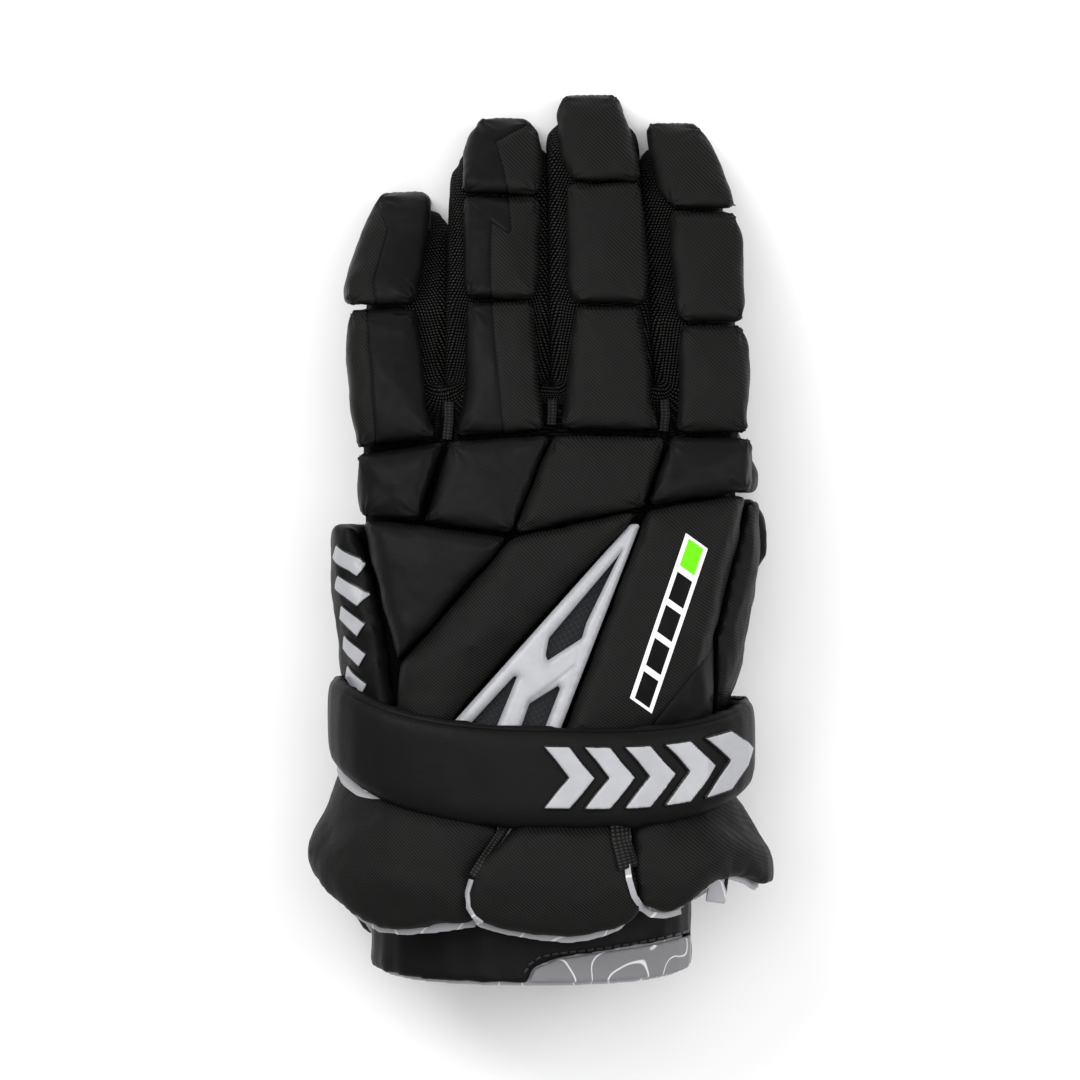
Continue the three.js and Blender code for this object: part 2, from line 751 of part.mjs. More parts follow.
function corner(name) {
  const [across, along] = CORNERS[name];
  const section = handSection(along);
  return new THREE.Vector2(section.x + (across * section.width) / 2, section.y);
}

const handHeights = {
  top: (x, y) => crest(handSection((y - Y_WRIST) / HAND_LENGTH), x, 0.85),
  low: (x, y) => {
    const section = handSection((y - Y_WRIST) / HAND_LENGTH);
    const outside = Math.abs(x - section.x) > section.width / 2 - 1;
    return outside ? section.z - archDrop(x, section.arch) : crest(section, x) - PAD_SINK;
  },
};

function fingerHeights(finger, isTip) {
  const sectionAt = (y) => {
    const along = (y - Y_CROTCH) / finger.length;
    return along > 0 ? fingerSection(finger, along) : handSection((y - Y_WRIST) / HAND_LENGTH);
  };
  const topSectionAt = (y) => {
    const along = (y - Y_CROTCH) / finger.length;
    return along > 0 ? fingerSection(finger, Math.min(along, 0.88)) : handSection((y - Y_WRIST) / HAND_LENGTH);
  };
  return {
    top: (x, y) => {
      const along = (y - Y_CROTCH) / finger.length;
      const section = topSectionAt(y);
      const nose = Math.max(along - 0.88, 0) * finger.length * 0.75;
      return crest(section, x, along > 0 ? 0.5 : 0.85) - nose;
    },
    low: (x, y) => {
      const section = sectionAt(y);
      const outside = Math.abs(x - section.x) > section.width / 2 - 1;
      if (isTip && y > Y_CROTCH + finger.length * 0.86) return crest(section, section.x) - TIP_WRAP;
      return outside ? section.z - archDrop(x, section.arch) : crest(section, x) - PAD_SINK;
    },
  };
}

const PAD_NAMES = { 2: ["base", "tip"], 3: ["base", "middle", "tip"] };
const fingerPads = FINGERS.flatMap((finger, k) => {
  const outlines = fingerPadOutlines(finger, k);
  return outlines.map((outline, i) => ({
    name: `${finger.name}_${PAD_NAMES[outlines.length][i]}_pad`,
    solid: pad(outline, fingerHeights(finger, i === outlines.length - 1), FINGER_PAD),
  }));
});

const handOutline = (padRow) => padRow.corners.map(corner);
const handPads = HAND_PADS.map((padRow) => ({
  name: padRow.name,
  solid: pad(inset(handOutline(padRow), GROOVE / 2), handHeights, HAND_PAD),
}));

// A padded panel over a section's surface: thin at its rim and full in the middle
function wrapPanel(columns, rows, pointAt, from, to, rim = RIM) {
  const rimmed = (i, j) => i === 0 || j === 0 || i === columns - 1 || j === rows - 1;
  return slab(
    columns,
    rows,
    (i, j) => pointAt(i / (columns - 1), j / (rows - 1), from),
    (i, j) => pointAt(i / (columns - 1), j / (rows - 1), rimmed(i, j) ? lerp(Math.max(from, 0), to, rim) : to),
  );
}

// The edge of a side pad keeps clear of the pads on the back, seen from above
const backKeepOut = join(
  HAND_PADS.map((padRow) =>
    prism(inset(handOutline(padRow), -GROOVE / 2), everywhere(KNUCKLE_RISE), everywhere(FAR)),
  ),
);

// A side pad, or with room the space that another piece leaves free for it
function sidePanel(spec, room = 0) {
  const [first, last] = [spec.rows[0], spec.rows.at(-1)];
  const table = [...spec.rows].reverse();
  const pointAt = (p, q, grow) => {
    const along = lerp(first.along + room / HAND_LENGTH, last.along, q);
    const row = rowAt(table, along);
    const swing = lerp(-1, 1, p) * Math.sign(row.to - row.from) * room;
    return sectionPoint(handSection(along), degToRad(lerp(row.from, row.to, p) + swing), grow);
  };
  return wrapPanel(SIDE_COLUMNS, SIDE_ROWS, pointAt, -WALL, SIDE_PAD + room, room ? 1 : RIM);
}
const sidePad = (spec) =>
  mainBody(onFloor(cut(sidePanel(spec), envelope, thumbEnvelope, underStrap, backKeepOut)));

// Pads on the outside of the thumb
const THUMB_PADS = [
  { name: "thumb_base_pad", from: 0.38, to: 0.66 },
  { name: "thumb_tip_pad", from: 0.685, to: 1.0 },
];
function thumbPad(spec) {
  const pointAt = (p, q, grow) => {
    const along = lerp(spec.from, spec.to, q);
    const section = thumbSection(Math.min(along, THUMB_NOSE));
    const point = sectionPoint(section, degToRad(lerp(-THUMB_PAD_REACH, THUMB_PAD_REACH, p)), grow);
    point.y = thumbSection(along).y;
    return point;
  };
  const body = wrapPanel(SIDE_COLUMNS, SIDE_ROWS, pointAt, -WALL, THUMB_PAD);
  const beside = SIDE_PADS.map((side) => sidePanel(side, GROOVE));
  return mainBody(onFloor(cut(body, envelope, thumbEnvelope, ...beside)));
}

// A cuff lobe: a grey lining with a black pad over it, both in the same outline
function lobePoint(spec, p, q, grow, reveal = 0) {
  const along = q * (listAt(spec.reach, p) + reveal / CUFF_LENGTH);
  const from = lerp(spec.start[0], spec.end[0], along);
  const to = lerp(spec.start[1], spec.end[1], along);
  return sectionPoint(bellSection(along), degToRad(lerp(from, to, p)), grow);
}
const LOBE_COLUMNS = 9;
const LOBE_ROWS = 5;

function lobeLining(spec) {
  const surface = (grow) => (i, j) =>
    lobePoint(spec, i / (LOBE_COLUMNS - 1), j / (LOBE_ROWS - 1), grow, LINING_REVEAL);
  return mainBody(onFloor(cut(slab(LOBE_COLUMNS, LOBE_ROWS, surface(0), surface(CUFF_LINING)), underStrap)));
}

function lobePad(spec) {
  const base = CUFF_LINING + 2 * CLEARANCE;
  const pointAt = (p, q, grow) => lobePoint(spec, p, q, base + grow);
  const body = wrapPanel(LOBE_COLUMNS, LOBE_ROWS, pointAt, 0, CUFF_PAD);
  return mainBody(onFloor(cut(body, underStrap)));
}

// The sleeve: its mouth slopes, furthest out over the back
const SLEEVE_COLUMNS = 28;
function sleeveRing(inner, outer, past) {
  const wrist = handSection(0);
  const mouth = (angle) => Y_MOUTH - past + MOUTH_SLOPE * (1 - Math.sin(angle));
  const surface = (grow) => (i, j) => {
    const angle = (2 * Math.PI * i) / SLEEVE_COLUMNS;
    const point = sectionPoint(wrist, angle, grow);
    point.y = j ? mouth(angle) : Y_WRIST - CLEARANCE;
    return point;
  };
  return slab(SLEEVE_COLUMNS, 2, surface(inner), surface(outer), true);
}

// The grey patch takes the corner of the sleeve's edge on the thumb side: its edge as shares of half
// the wrist's width and of its own height
const PATCH_EDGE = [
  { across: -0.04, up: -0.21 },
  { across: 0.02, up: 0.263 },
  { across: 0.15, up: 0.447 },
  { across: 0.36, up: 0.553 },
  { across: 0.76, up: 0.737 },
  { across: 1.15, up: 1 },
];
function patchRegion(grow) {
  const points = PATCH_EDGE.map((row) => {
    const x = WRIST_SHIFT + (row.across * WRIST_WIDTH) / 2;
    return new THREE.Vector2(x - grow, Y_MOUTH + row.up * PATCH_HEIGHT + grow);
  });
  const outline = [...points, new THREE.Vector2(FAR, points.at(-1).y), new THREE.Vector2(FAR, -FAR)];
  outline.push(new THREE.Vector2(points[0].x, -FAR));
  return prism(outline, everywhere(WRIST_LIFT + WRIST_HEIGHT / 2), everywhere(FAR));
}

// The vent: a mesh bed in the gap between two pads, under a frame with three windows. A place in it is
// a share of the way from its left edge to its right, and a share of the way down from its apex
const VENT_WINDOWS = [
  [[0.74, 0.13], [0.25, 0.54], [0.4, 0.62], [0.51, 0.65], [0.84, 0.55], [0.79, 0.48]],
  [[0.18, 0.7], [0.265, 0.7], [0.45, 0.95], [0.12, 0.95]],
  [[0.79, 0.74], [0.86, 0.76], [0.89, 0.95], [0.64, 0.95], [0.57, 0.82]],
];
const VENT_COLUMNS = 3;
const VENT_ROWS = 7;

function ventPlace([across, down]) {
  const [apex, left, right] = inset([corner("back3"), corner("ventLeft"), corner("ventRight")], GROOVE);
  const start = apex.clone().lerp(left, down);
  return start.lerp(apex.clone().lerp(right, down), across);
}

function ventLayer(low, high) {
  const surface = (rise) => (i, j) => {
    const down = lerp(VENT_BLUNT, 1, j / (VENT_ROWS - 1));
    const { x, y } = ventPlace([i / (VENT_COLUMNS - 1), down]);
    return new THREE.Vector3(x, y, crest(handSection((y - Y_WRIST) / HAND_LENGTH), x) + rise);
  };
  return slab(VENT_COLUMNS, VENT_ROWS, surface(low), surface(high));
}

const ventBed = () => mainBody(cut(ventLayer(-PAD_SINK, VENT_BED), envelope, underStrap));
function ventFrame() {
  const windows = VENT_WINDOWS.map((window) => prism(window.map(ventPlace), everywhere(0), everywhere(FAR)));
  const body = ventLayer(VENT_BED + CLEARANCE, VENT_BED + VENT_FRAME);
  return mainBody(cut(body, ...windows, underStrap));
}

// A raised chevron, of one thickness all over, that follows the strap's outer surface
function chevron(k) {
  const rows = [-CHEVRON_SPREAD, 0, CHEVRON_SPREAD];
  const place = (i, j, grow) => {
    const point = 1 - Math.abs(rows[j]) / CHEVRON_SPREAD;
    const start = CHEVRON_START + k * CHEVRON_PITCH;
    const out = start + CHEVRON_REACH * point + i * CHEVRON_BAR;
    const share = clamp(out / (strapInner.width / 2 + STRAP_THICKNESS), 0, 0.97);
    const angle = Math.acos(share ** (strapInner.power / 2));
    return strapPoint(angle, rows[j], grow);
  };
  const body = slab(
    3,
    rows.length,
    (i, j) => place(i / 2, j, STRAP_THICKNESS / 2),
    (i, j) => place(i / 2, j, STRAP_THICKNESS * 2),
  );
  const skin = strapRing(-CLEARANCE, CLEARANCE + MARK_RELIEF);
  return mainBody(cut(body.intersect(skin), strapRing(-2 * CLEARANCE, CLEARANCE)));
}

const POLYESTER = { color: 0x1b1b1c, roughness: 0.62 };
const LOOKS = {
  nylon: new THREE.MeshStandardMaterial(POLYESTER),
  twill: new THREE.MeshStandardMaterial({ color: 0x161617, roughness: 0.7 }),
  mesh: new THREE.MeshStandardMaterial({ color: 0x0e0e0f, roughness: 0.9 }),
  leather: new THREE.MeshStandardMaterial({ color: 0x191919, roughness: 0.75 }),
  silver: new THREE.MeshStandardMaterial({ color: 0xb9bac0, roughness: 0.42, metalness: 0.15 }),
  lining: new THREE.MeshStandardMaterial({ color: 0x9ba0a8, roughness: 0.65 }),
};

const glove = new THREE.Group();
glove.name = "lacrosse_glove";

function geometryOf(solid) {
  const { vertProperties, triVerts } = solid.getMesh();
  const geometry = new THREE.BufferGeometry();
  geometry.setAttribute("position", new THREE.BufferAttribute(vertProperties, 3));
  geometry.setIndex(new THREE.BufferAttribute(triVerts, 1));
  return mergeVertices(geometry, WELD);
}

// A named mesh of the solid, its nearest vertices welded and the slivers that this closes left out
function add(group, name, solid, look) {
  const welded = geometryOf(solid);
  const mesh = new wasm.Mesh({
    numProp: 3,
    vertProperties: new Float32Array(welded.attributes.position.array),
    triVerts: new Uint32Array(welded.index.array),
  });
  const piece = new THREE.Mesh(geometryOf(mainBody(new wasm.Manifold(mesh))), LOOKS[look]);
  piece.name = name;
  group.add(piece);
}

function part(name) {
  const group = new THREE.Group();
  group.name = name;
  glove.add(group);
  return group;
}

const hand = part("hand");
add(hand, "palm_leather", palmLeather(), "leather");
add(hand, "back_liner", backLiner(), "mesh");
const WALL_NAMES = ["outer_side_wall", "little_ring_gusset", "ring_middle_gusset", "middle_index_gusset", "inner_side_wall"];
sideWalls().forEach((solid, k) => add(hand, WALL_NAMES[k], solid, "mesh"));

const thumb = part("thumb");
const [thumbPalm, thumbBack] = thumbHalves();
add(thumb, "thumb_leather", thumbPalm, "leather");
add(thumb, "thumb_back", thumbBack, "mesh");
for (const spec of THUMB_PADS) add(thumb, spec.name, thumbPad(spec), "nylon");

const fingers = part("finger_pads");
for (const { name, solid } of fingerPads) add(fingers, name, solid, "nylon");

const back = part("back_pads");
for (const { name, solid } of handPads) add(back, name, solid, "twill");
for (const spec of SIDE_PADS) add(back, spec.name, sidePad(spec), "nylon");
add(back, "vent_bed", ventBed(), "mesh");
add(back, "vent_frame", ventFrame(), "silver");

const wrist = part("wrist");
add(wrist, "wrist_strap", onFloor(wristStrap), "nylon");
for (let k = 0; k < CHEVRONS; k++) add(wrist, `strap_chevron_${k + 1}`, chevron(k), "silver");

const cuff = part("cuff");
for (const spec of LOBES) {
  add(cuff, spec.name, lobePad(spec), "twill");
  add(cuff, `${spec.name}_lining`, lobeLining(spec), "lining");
}
const sleeve = sleeveRing(-SLEEVE_WALL, 0, 0);
add(cuff, "wrist_sleeve", mainBody(sleeve.subtract(patchRegion(SEAM_GAP))), "nylon");
add(cuff, "sleeve_patch", mainBody(sleeve.intersect(patchRegion(0))), "lining");
const liningOuter = -SLEEVE_WALL - CLEARANCE;
add(cuff, "sleeve_lining", sleeveRing(liningOuter - SLEEVE_LINING, liningOuter, HEM_REVEAL), "lining");

export default glove;
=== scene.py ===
import math

import bmesh
import bpy
import numpy as np
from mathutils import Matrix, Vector, noise
from mathutils.bvhtree import BVHTree
from mathutils.kdtree import KDTree


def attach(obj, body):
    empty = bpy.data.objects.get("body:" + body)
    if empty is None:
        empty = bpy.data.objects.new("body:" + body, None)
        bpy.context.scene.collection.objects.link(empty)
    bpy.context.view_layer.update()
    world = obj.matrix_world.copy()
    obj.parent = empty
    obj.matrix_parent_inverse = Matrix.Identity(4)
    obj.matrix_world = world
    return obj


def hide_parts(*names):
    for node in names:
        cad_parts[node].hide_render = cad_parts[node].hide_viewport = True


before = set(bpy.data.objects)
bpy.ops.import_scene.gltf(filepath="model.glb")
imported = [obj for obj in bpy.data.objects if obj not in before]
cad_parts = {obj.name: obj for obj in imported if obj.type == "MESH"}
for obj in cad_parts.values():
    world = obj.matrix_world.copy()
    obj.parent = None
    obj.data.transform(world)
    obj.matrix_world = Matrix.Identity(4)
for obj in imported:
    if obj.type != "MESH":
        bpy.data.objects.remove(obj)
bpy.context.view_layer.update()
MM = 0.001

# The middle of the photo's frame, which is 1080 wide and high, and the real size of one step in it
FRAME_MIDDLE = (541, 538)
FRAME_STEP = 0.3733 * MM

# Where the hand begins and the fingers part, and the three slits between the fingers
CROTCH_Y = 49.8 * MM
SLITS = [(-35.7, 2.2), (3.8, -1.5), (42.3, -6.8)]
SLIT_LENGTH = 100 * MM
SLIT_END = 7 * MM
SLIT_ROUND = 6 * MM
OUTER_FINGERS = (-53.2 * MM, 60.8 * MM)

# The strap's middle line, as the part has it
WRIST_Y = -78.2 * MM
STRAP_MIDDLE = (-0.7 * MM, 54.75 * MM)
STRAP_HALF = (73 * MM, 47.75 * MM)
STRAP_POWER = 2.8
STRAP_WIDTH = 38 * MM
STRAP_STRETCH = 1.8 * MM
# Where the strap's binding is sewn on, as a share of its width from its middle line
BINDING = 0.45

# A distance past every other, and how many times a line's ends are drawn out to part left from right
FAR = 1e9
LINE_STRETCH = 1000
# How far above the floor the lowest points stay
FLOOR_GAP = 0.05 * MM
# The air that fills the pads: its pressure, how many frames and steps it is given, and how far it may push
PAD_PRESSURE = 4.0
PAD_FRAMES = 20
PAD_QUALITY = 4
PAD_CAP = 1.5 * MM
# How near a pad's points lie to the hand where they are held on it
PAD_HOLD = 1.6 * MM


def spot(x, y):
    """A place on the glove from where it shows in the photo's frame."""
    return ((x - FRAME_MIDDLE[0]) * FRAME_STEP, (FRAME_MIDDLE[1] - y) * FRAME_STEP)


def line(*places):
    """The places along a line, each given by where it shows in the photo's frame."""
    return [spot(x, y) for x, y in places]


# Meshes


def pick(*pieces):
    bpy.ops.object.select_all(action="DESELECT")
    for piece in pieces:
        piece.select_set(True)
    bpy.context.view_layer.objects.active = pieces[0]


def add(name, data):
    piece = bpy.data.objects.new(name, data)
    bpy.context.scene.collection.objects.link(piece)
    return piece


def copy_of(name, *nodes):
    """One new piece out of copies of the part's own solids, with their doubles merged."""
    mesh = bmesh.new()
    for node in nodes:
        mesh.from_mesh(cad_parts[node].data)
    bmesh.ops.remove_doubles(mesh, verts=mesh.verts, dist=0.01 * MM)
    data = bpy.data.meshes.new(name)
    mesh.to_mesh(data)
    mesh.free()
    return add(name, data)


def shape(piece, kind, **settings):
    """Adds a modifier and applies it."""
    modifier = piece.modifiers.new(kind.lower(), kind)
    for name, value in settings.items():
        setattr(modifier, name, value)
    pick(piece)
    bpy.ops.object.modifier_apply(modifier=modifier.name)


def remesh(piece, size, rounds):
    """An even skin of small faces, smoothed over a number of rounds."""
    shape(piece, "REMESH", mode="VOXEL", voxel_size=size, use_smooth_shade=True)
    shape(piece, "SMOOTH", factor=0.5, iterations=rounds)


def thin_out(piece, share):
    """Keeps that share of a piece's faces, most of them where it is curved."""
    shape(piece, "DECIMATE", decimate_type="COLLAPSE", ratio=share)


def threes(items, name):
    values = np.empty(len(items) * 3)
    items.foreach_get(name, values)
    return values.reshape(-1, 3)


def points_of(piece):
    return threes(piece.data.vertices, "co")


def normals_of(piece):
    return threes(piece.data.vertex_normals, "vector")


def put_points(piece, points):
    piece.data.vertices.foreach_set("co", points.ravel())
    piece.data.update()


def note(piece, name, values):
    """Keeps a number, or three, at each point for a material to read."""
    flat = values.ndim == 1
    layer = piece.data.attributes.new(name, "FLOAT" if flat else "FLOAT_VECTOR", "POINT")
    layer.data.foreach_set("value" if flat else "vector", values.astype(np.float32).ravel())


def ripple(points, size, depth, seed):
    """A smooth uneven height at each point."""
    shift = Vector((seed * 7.3, seed * 3.1, seed * 5.7))
    return np.array([noise.noise(Vector(p) / size + shift) for p in points]) * depth


def signed_distance(points, places):
    """How far each point lies from a line in plan: above nought to its left, going along it."""
    best = np.full(len(points), FAR)
    west = np.ones(len(points))
    places = np.array(places)
    before = places[0] + (places[0] - places[1]) * LINE_STRETCH
    after = places[-1] + (places[-1] - places[-2]) * LINE_STRETCH
    drawn = [before, *places, after]
    for first, last in zip(drawn, drawn[1:]):
        run = last - first
        to = points[:, :2] - first
        crossing = (points[:, 1] > first[1]) != (points[:, 1] > last[1])
        beyond = to[:, 0] < run[0] * to[:, 1] / (run[1] if abs(run[1]) > 1e-9 else 1e-9)
        west = np.where(crossing & beyond, -west, west)
    for first, last in zip(places, places[1:]):
        run = last - first
        to = points[:, :2] - first
        share = np.clip(to @ run / (run @ run), 0, 1)
        best = np.minimum(best, np.hypot(*(to - share[:, None] * run).T))
    return best * west * (-1 if places[-1][1] > places[0][1] else 1)


def fit(piece, node, less, more=(0, 0, 0, 0)):
    """Stretches a smoothed piece back to its solid's box, less a little, and more to one side or another.

    The last value holds millimetres to the left, to the right, up and down in plan.
    """
    points = points_of(piece)
    solid = points_of(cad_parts[node])
    low, high = points.min(0), points.max(0)
    first = solid.min(0) + less - np.array([more[0], more[3], 0]) * MM
    last = solid.max(0) - less + np.array([more[1], more[2], 0]) * MM
    put_points(piece, (first + last) / 2 + (points - (low + high) / 2) * (last - first) / (high - low))


def finish(piece, slot, material, *nodes, fill=None):
    """Dresses a piece, sets it on the hand and lets it stand for its solids."""
    points = points_of(piece)
    points[:, 2] = np.maximum(points[:, 2], FLOOR_GAP)
    put_points(piece, points)
    piece.data.materials.clear()
    piece.data.materials.append(material)
    for face in piece.data.polygons:
        face.use_smooth = True
    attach(piece, "root")
    if nodes:
        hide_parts(*nodes)
    return piece


# Materials


class Finish:
    """A material that is built up node by node."""

    def __init__(self, name, roughness=0.5, gloss=0.5, sheen=0.0):
        self.material = bpy.data.materials.new(name)
        self.material.use_nodes = True
        self.tree = self.material.node_tree
        self.shader = self.tree.nodes["Principled BSDF"]
        self.shader.inputs["Roughness"].default_value = roughness
        self.shader.inputs["Specular IOR Level"].default_value = gloss
        self.shader.inputs["Sheen Weight"].default_value = sheen
        self.shader.inputs["Sheen Roughness"].default_value = 0.5
        self.place = self.node("ShaderNodeTexCoord").outputs["Object"]

    def node(self, kind, **settings):
        made = self.tree.nodes.new(kind)
        for name, value in settings.items():
            setattr(made, name, value)
        return made

    def join(self, sockets, values):
        for socket, value in zip(sockets, values):
            if isinstance(value, bpy.types.NodeSocket):
                self.tree.links.new(value, socket)
            else:
                socket.default_value = value

    def sum(self, operation, *values, clamp=False):
        made = self.node("ShaderNodeMath", operation=operation, use_clamp=clamp)
        self.join(made.inputs, values)
        return made.outputs[0]

    def along(self, direction, place):
        """How far a place lies along a direction."""
        made = self.node("ShaderNodeVectorMath", operation="DOT_PRODUCT")
        self.join(made.inputs, (place or self.place, direction))
        return made.outputs["Value"]

    def noise(self, size, detail=2.0):
        made = self.node("ShaderNodeTexNoise")
        self.tree.links.new(self.place, made.inputs["Vector"])
        made.inputs["Scale"].default_value = 1 / size
        made.inputs["Detail"].default_value = detail
        return made.outputs["Fac"]

    def kept(self, name):
        return self.node("ShaderNodeAttribute", attribute_name=name)

    def step(self, value, low, high):
        """Nought under low, one over high and smooth between them."""
        made = self.node("ShaderNodeMapRange", interpolation_type="SMOOTHSTEP")
        self.join(made.inputs, (value, low, high, 0.0, 1.0))
        return made.outputs["Result"]

    def mix(self, share, first, second):
        made = self.node("ShaderNodeMix", data_type="RGBA")
        self.join((made.inputs[0], made.inputs[6], made.inputs[7]), (share, first, second))
        return made.outputs[2]

    def color(self, value):
        self.tree.links.new(value, self.shader.inputs["Base Color"])

    def bump(self, height, depth):
        """Relief, with its real depth in metres."""
        made = self.node("ShaderNodeBump")
        made.inputs["Strength"].default_value = 1.0
        made.inputs["Distance"].default_value = depth
        self.tree.links.new(height, made.inputs["Height"])
        self.tree.links.new(made.outputs["Normal"], self.shader.inputs["Normal"])

    def ribs(self, pitch, direction, wobble, place=None):
        """Fine even ribs across a direction, from nought to one."""
        turn = self.sum("MULTIPLY", self.along(direction, place), 2 * math.pi / pitch)
        turn = self.sum("ADD", turn, self.sum("MULTIPLY", self.noise(5 * MM), wobble * 4))
        return self.sum("MULTIPLY_ADD", self.sum("SINE", turn), 0.5, 0.5)


def grey(level, blue=1.0):
    return (level, level, level * blue, 1.0)


# The two sets of fine ribs in the twill: how far apart they lie, and the way across them
RIB_PITCH = 0.97 * MM
RIB_RUN = (0.66, 0.75, 0.2)
CROSS_PITCH = 0.62 * MM
CROSS_RUN = (0.7, -0.65, 0.3)
# The knit's rows and stitches, the cells of the vent's mesh, and the blocks of the printed bar
KNIT_ROW = 2.1 * MM
KNIT_STITCH = 2.6 * MM
VENT_CELL = 1.9 * MM
BAR_BLOCK = 12.95 * MM


def cloth(name, twill, seamed=False):
    """Black cloth: smooth and coated, or with a fine diagonal rib, or each on its own side of a seam."""
    made = Finish(name, roughness=0.46 if twill < 1 or seamed else 0.52, gloss=0.07)
    ribs = made.ribs(RIB_PITCH, RIB_RUN, 0.15)
    cross = made.ribs(CROSS_PITCH, CROSS_RUN, 0.3)
    grain = made.noise(0.28 * MM, 3.0)
    fold = made.noise(9 * MM, 3.0)
    thread = made.sum("MULTIPLY", ribs, made.sum("MULTIPLY_ADD", cross, 0.35, 0.65))
    wear = made.sum("MULTIPLY_ADD", fold, 0.5, 0.75)
    smooth = made.mix(wear, grey(0.0017), grey(0.0039, 1.03))
    ribbed = made.mix(thread, grey(0.0022), (0.0152, 0.015, 0.014, 1.0))
    ribbed = made.mix(made.sum("MULTIPLY", fold, 0.3), ribbed, grey(0.003))
    height = made.sum("MULTIPLY_ADD", grain, 0.12, made.sum("MULTIPLY", fold, 1.6))
    relief = made.sum("MULTIPLY", thread, 0.5)
    if seamed:
        seam = made.kept("seam").outputs["Fac"]
        near = made.sum("ABSOLUTE", seam)
        share = made.sum("MULTIPLY", made.step(seam, -0.1 * MM, 0.1 * MM), twill)
        made_color = made.mix(share, smooth, ribbed)
        crease = made.step(near, 0.12 * MM, 0.5 * MM)
        made.color(made.mix(crease, grey(0.0006), made_color))
        relief = made.sum("MULTIPLY", relief, share)
        height = made.sum("ADD", height, made.sum("MULTIPLY", made.step(near, 0.0, 1.1 * MM), 1.1))
    else:
        made.color(made.mix(twill, smooth, ribbed))
        relief = made.sum("MULTIPLY", relief, twill)
    made.bump(made.sum("ADD", height, relief), 0.16 * MM)
    return made.material


def knit():
    """Black spacer mesh: rows of small holes that follow the slits between the fingers, darkened by painted
    shade from the weave's third value.
    """
    made = Finish("knit_mesh", roughness=0.75, gloss=0.03)
    weave = made.kept("weave").outputs["Vector"]
    split = made.node("ShaderNodeSeparateXYZ")
    made.tree.links.new(weave, split.inputs[0])
    wander = made.sum("MULTIPLY_ADD", made.noise(6 * MM), 1.6 * MM, 0.0)
    along = made.sum("ADD", split.outputs[0], wander)
    across = split.outputs[1]
    turn = made.sum("MULTIPLY", along, 2 * math.pi / KNIT_ROW)
    half = made.sum("MULTIPLY", across, 2 * math.pi / KNIT_STITCH)
    one_way = made.sum("SINE", made.sum("ADD", turn, half))
    other_way = made.sum("SINE", made.sum("SUBTRACT", turn, half))
    holes = made.sum("MULTIPLY", one_way, other_way)
    holes = made.sum("MULTIPLY_ADD", holes, 0.5, 0.5)
    yarn = made.step(holes, 0.55, 0.75)
    fold = made.noise(11 * MM, 2.0)
    bright = made.mix(fold, (0.012, 0.012, 0.0117, 1.0), (0.046, 0.0457, 0.043, 1.0))
    # Painted shade: the weave's third value darkens the knit to near black on the hand and along the slits'
    # middles
    bright = made.mix(split.outputs[2], grey(0.002), bright)
    made.color(made.mix(yarn, grey(0.0002), bright))
    made.bump(made.sum("ADD", yarn, made.sum("MULTIPLY", fold, 1.5)), 0.35 * MM)
    return made.material


def palm_leather():
    """Matt black synthetic leather with a fine pebble."""
    made = Finish("palm_leather_finish", roughness=0.62, gloss=0.3)
    pebble = made.node("ShaderNodeTexVoronoi")
    made.tree.links.new(made.place, pebble.inputs["Vector"])
    pebble.inputs["Scale"].default_value = 1 / (1.1 * MM)
    grain = made.sum("MULTIPLY_ADD", made.noise(0.4 * MM, 4.0), 0.5, pebble.outputs["Distance"])
    fold = made.noise(14 * MM, 3.0)
    made.color(made.mix(fold, grey(0.009), grey(0.021)))
    made.bump(made.sum("MULTIPLY_ADD", fold, 2.5, grain), 0.2 * MM)
    return made.material


def moulding():
    """Silver-grey soft moulding with a satin skin."""
    made = Finish("silver_moulding", roughness=0.34, gloss=0.5)
    cloud = made.noise(7 * MM, 2.0)
    fine = made.noise(0.5 * MM, 3.0)
    made.color(made.mix(cloud, (0.29, 0.295, 0.312, 1.0), (0.37, 0.375, 0.398, 1.0)))
    made.bump(made.sum("MULTIPLY_ADD", fine, 0.25, cloud), 0.12 * MM)
    return made.material


def lining(name, tone):
    """Grey lining cloth with a printed pattern of fine pale contour lines."""
    made = Finish(name, roughness=0.6, gloss=0.2, sheen=0.05)
    level = made.sum("MULTIPLY", made.noise(30 * MM, 0.5), 7.0)
    wave = made.sum("ABSOLUTE", made.sum("SUBTRACT", made.sum("FRACT", level), 0.5))
    ink = made.step(wave, 0.02, 0.045)
    weave = made.noise(0.35 * MM, 2.0)
    cloth_color = made.mix(weave, grey(0.27 * tone, 1.06), grey(0.37 * tone, 1.06))
    made.color(made.mix(ink, grey(0.62, 1.02), cloth_color))
    made.bump(weave, 0.1 * MM)
    return made.material


def webbing():
    """Black ribbed webbing."""
    made = Finish("black_webbing", roughness=0.65, gloss=0.15)
    place = made.kept("weave").outputs["Vector"]
    rungs = made.ribs(1.25 * MM, (1.0, 0.0, 0.0), 0.02, place)
    ribs = made.ribs(1.6 * MM, (0.0, 1.0, 0.0), 0.02, place)
    weave = made.sum("MULTIPLY", ribs, rungs)
    made.color(made.mix(weave, grey(0.0008), (0.032, 0.032, 0.03, 1.0)))
    made.bump(weave, 0.25 * MM)
    return made.material


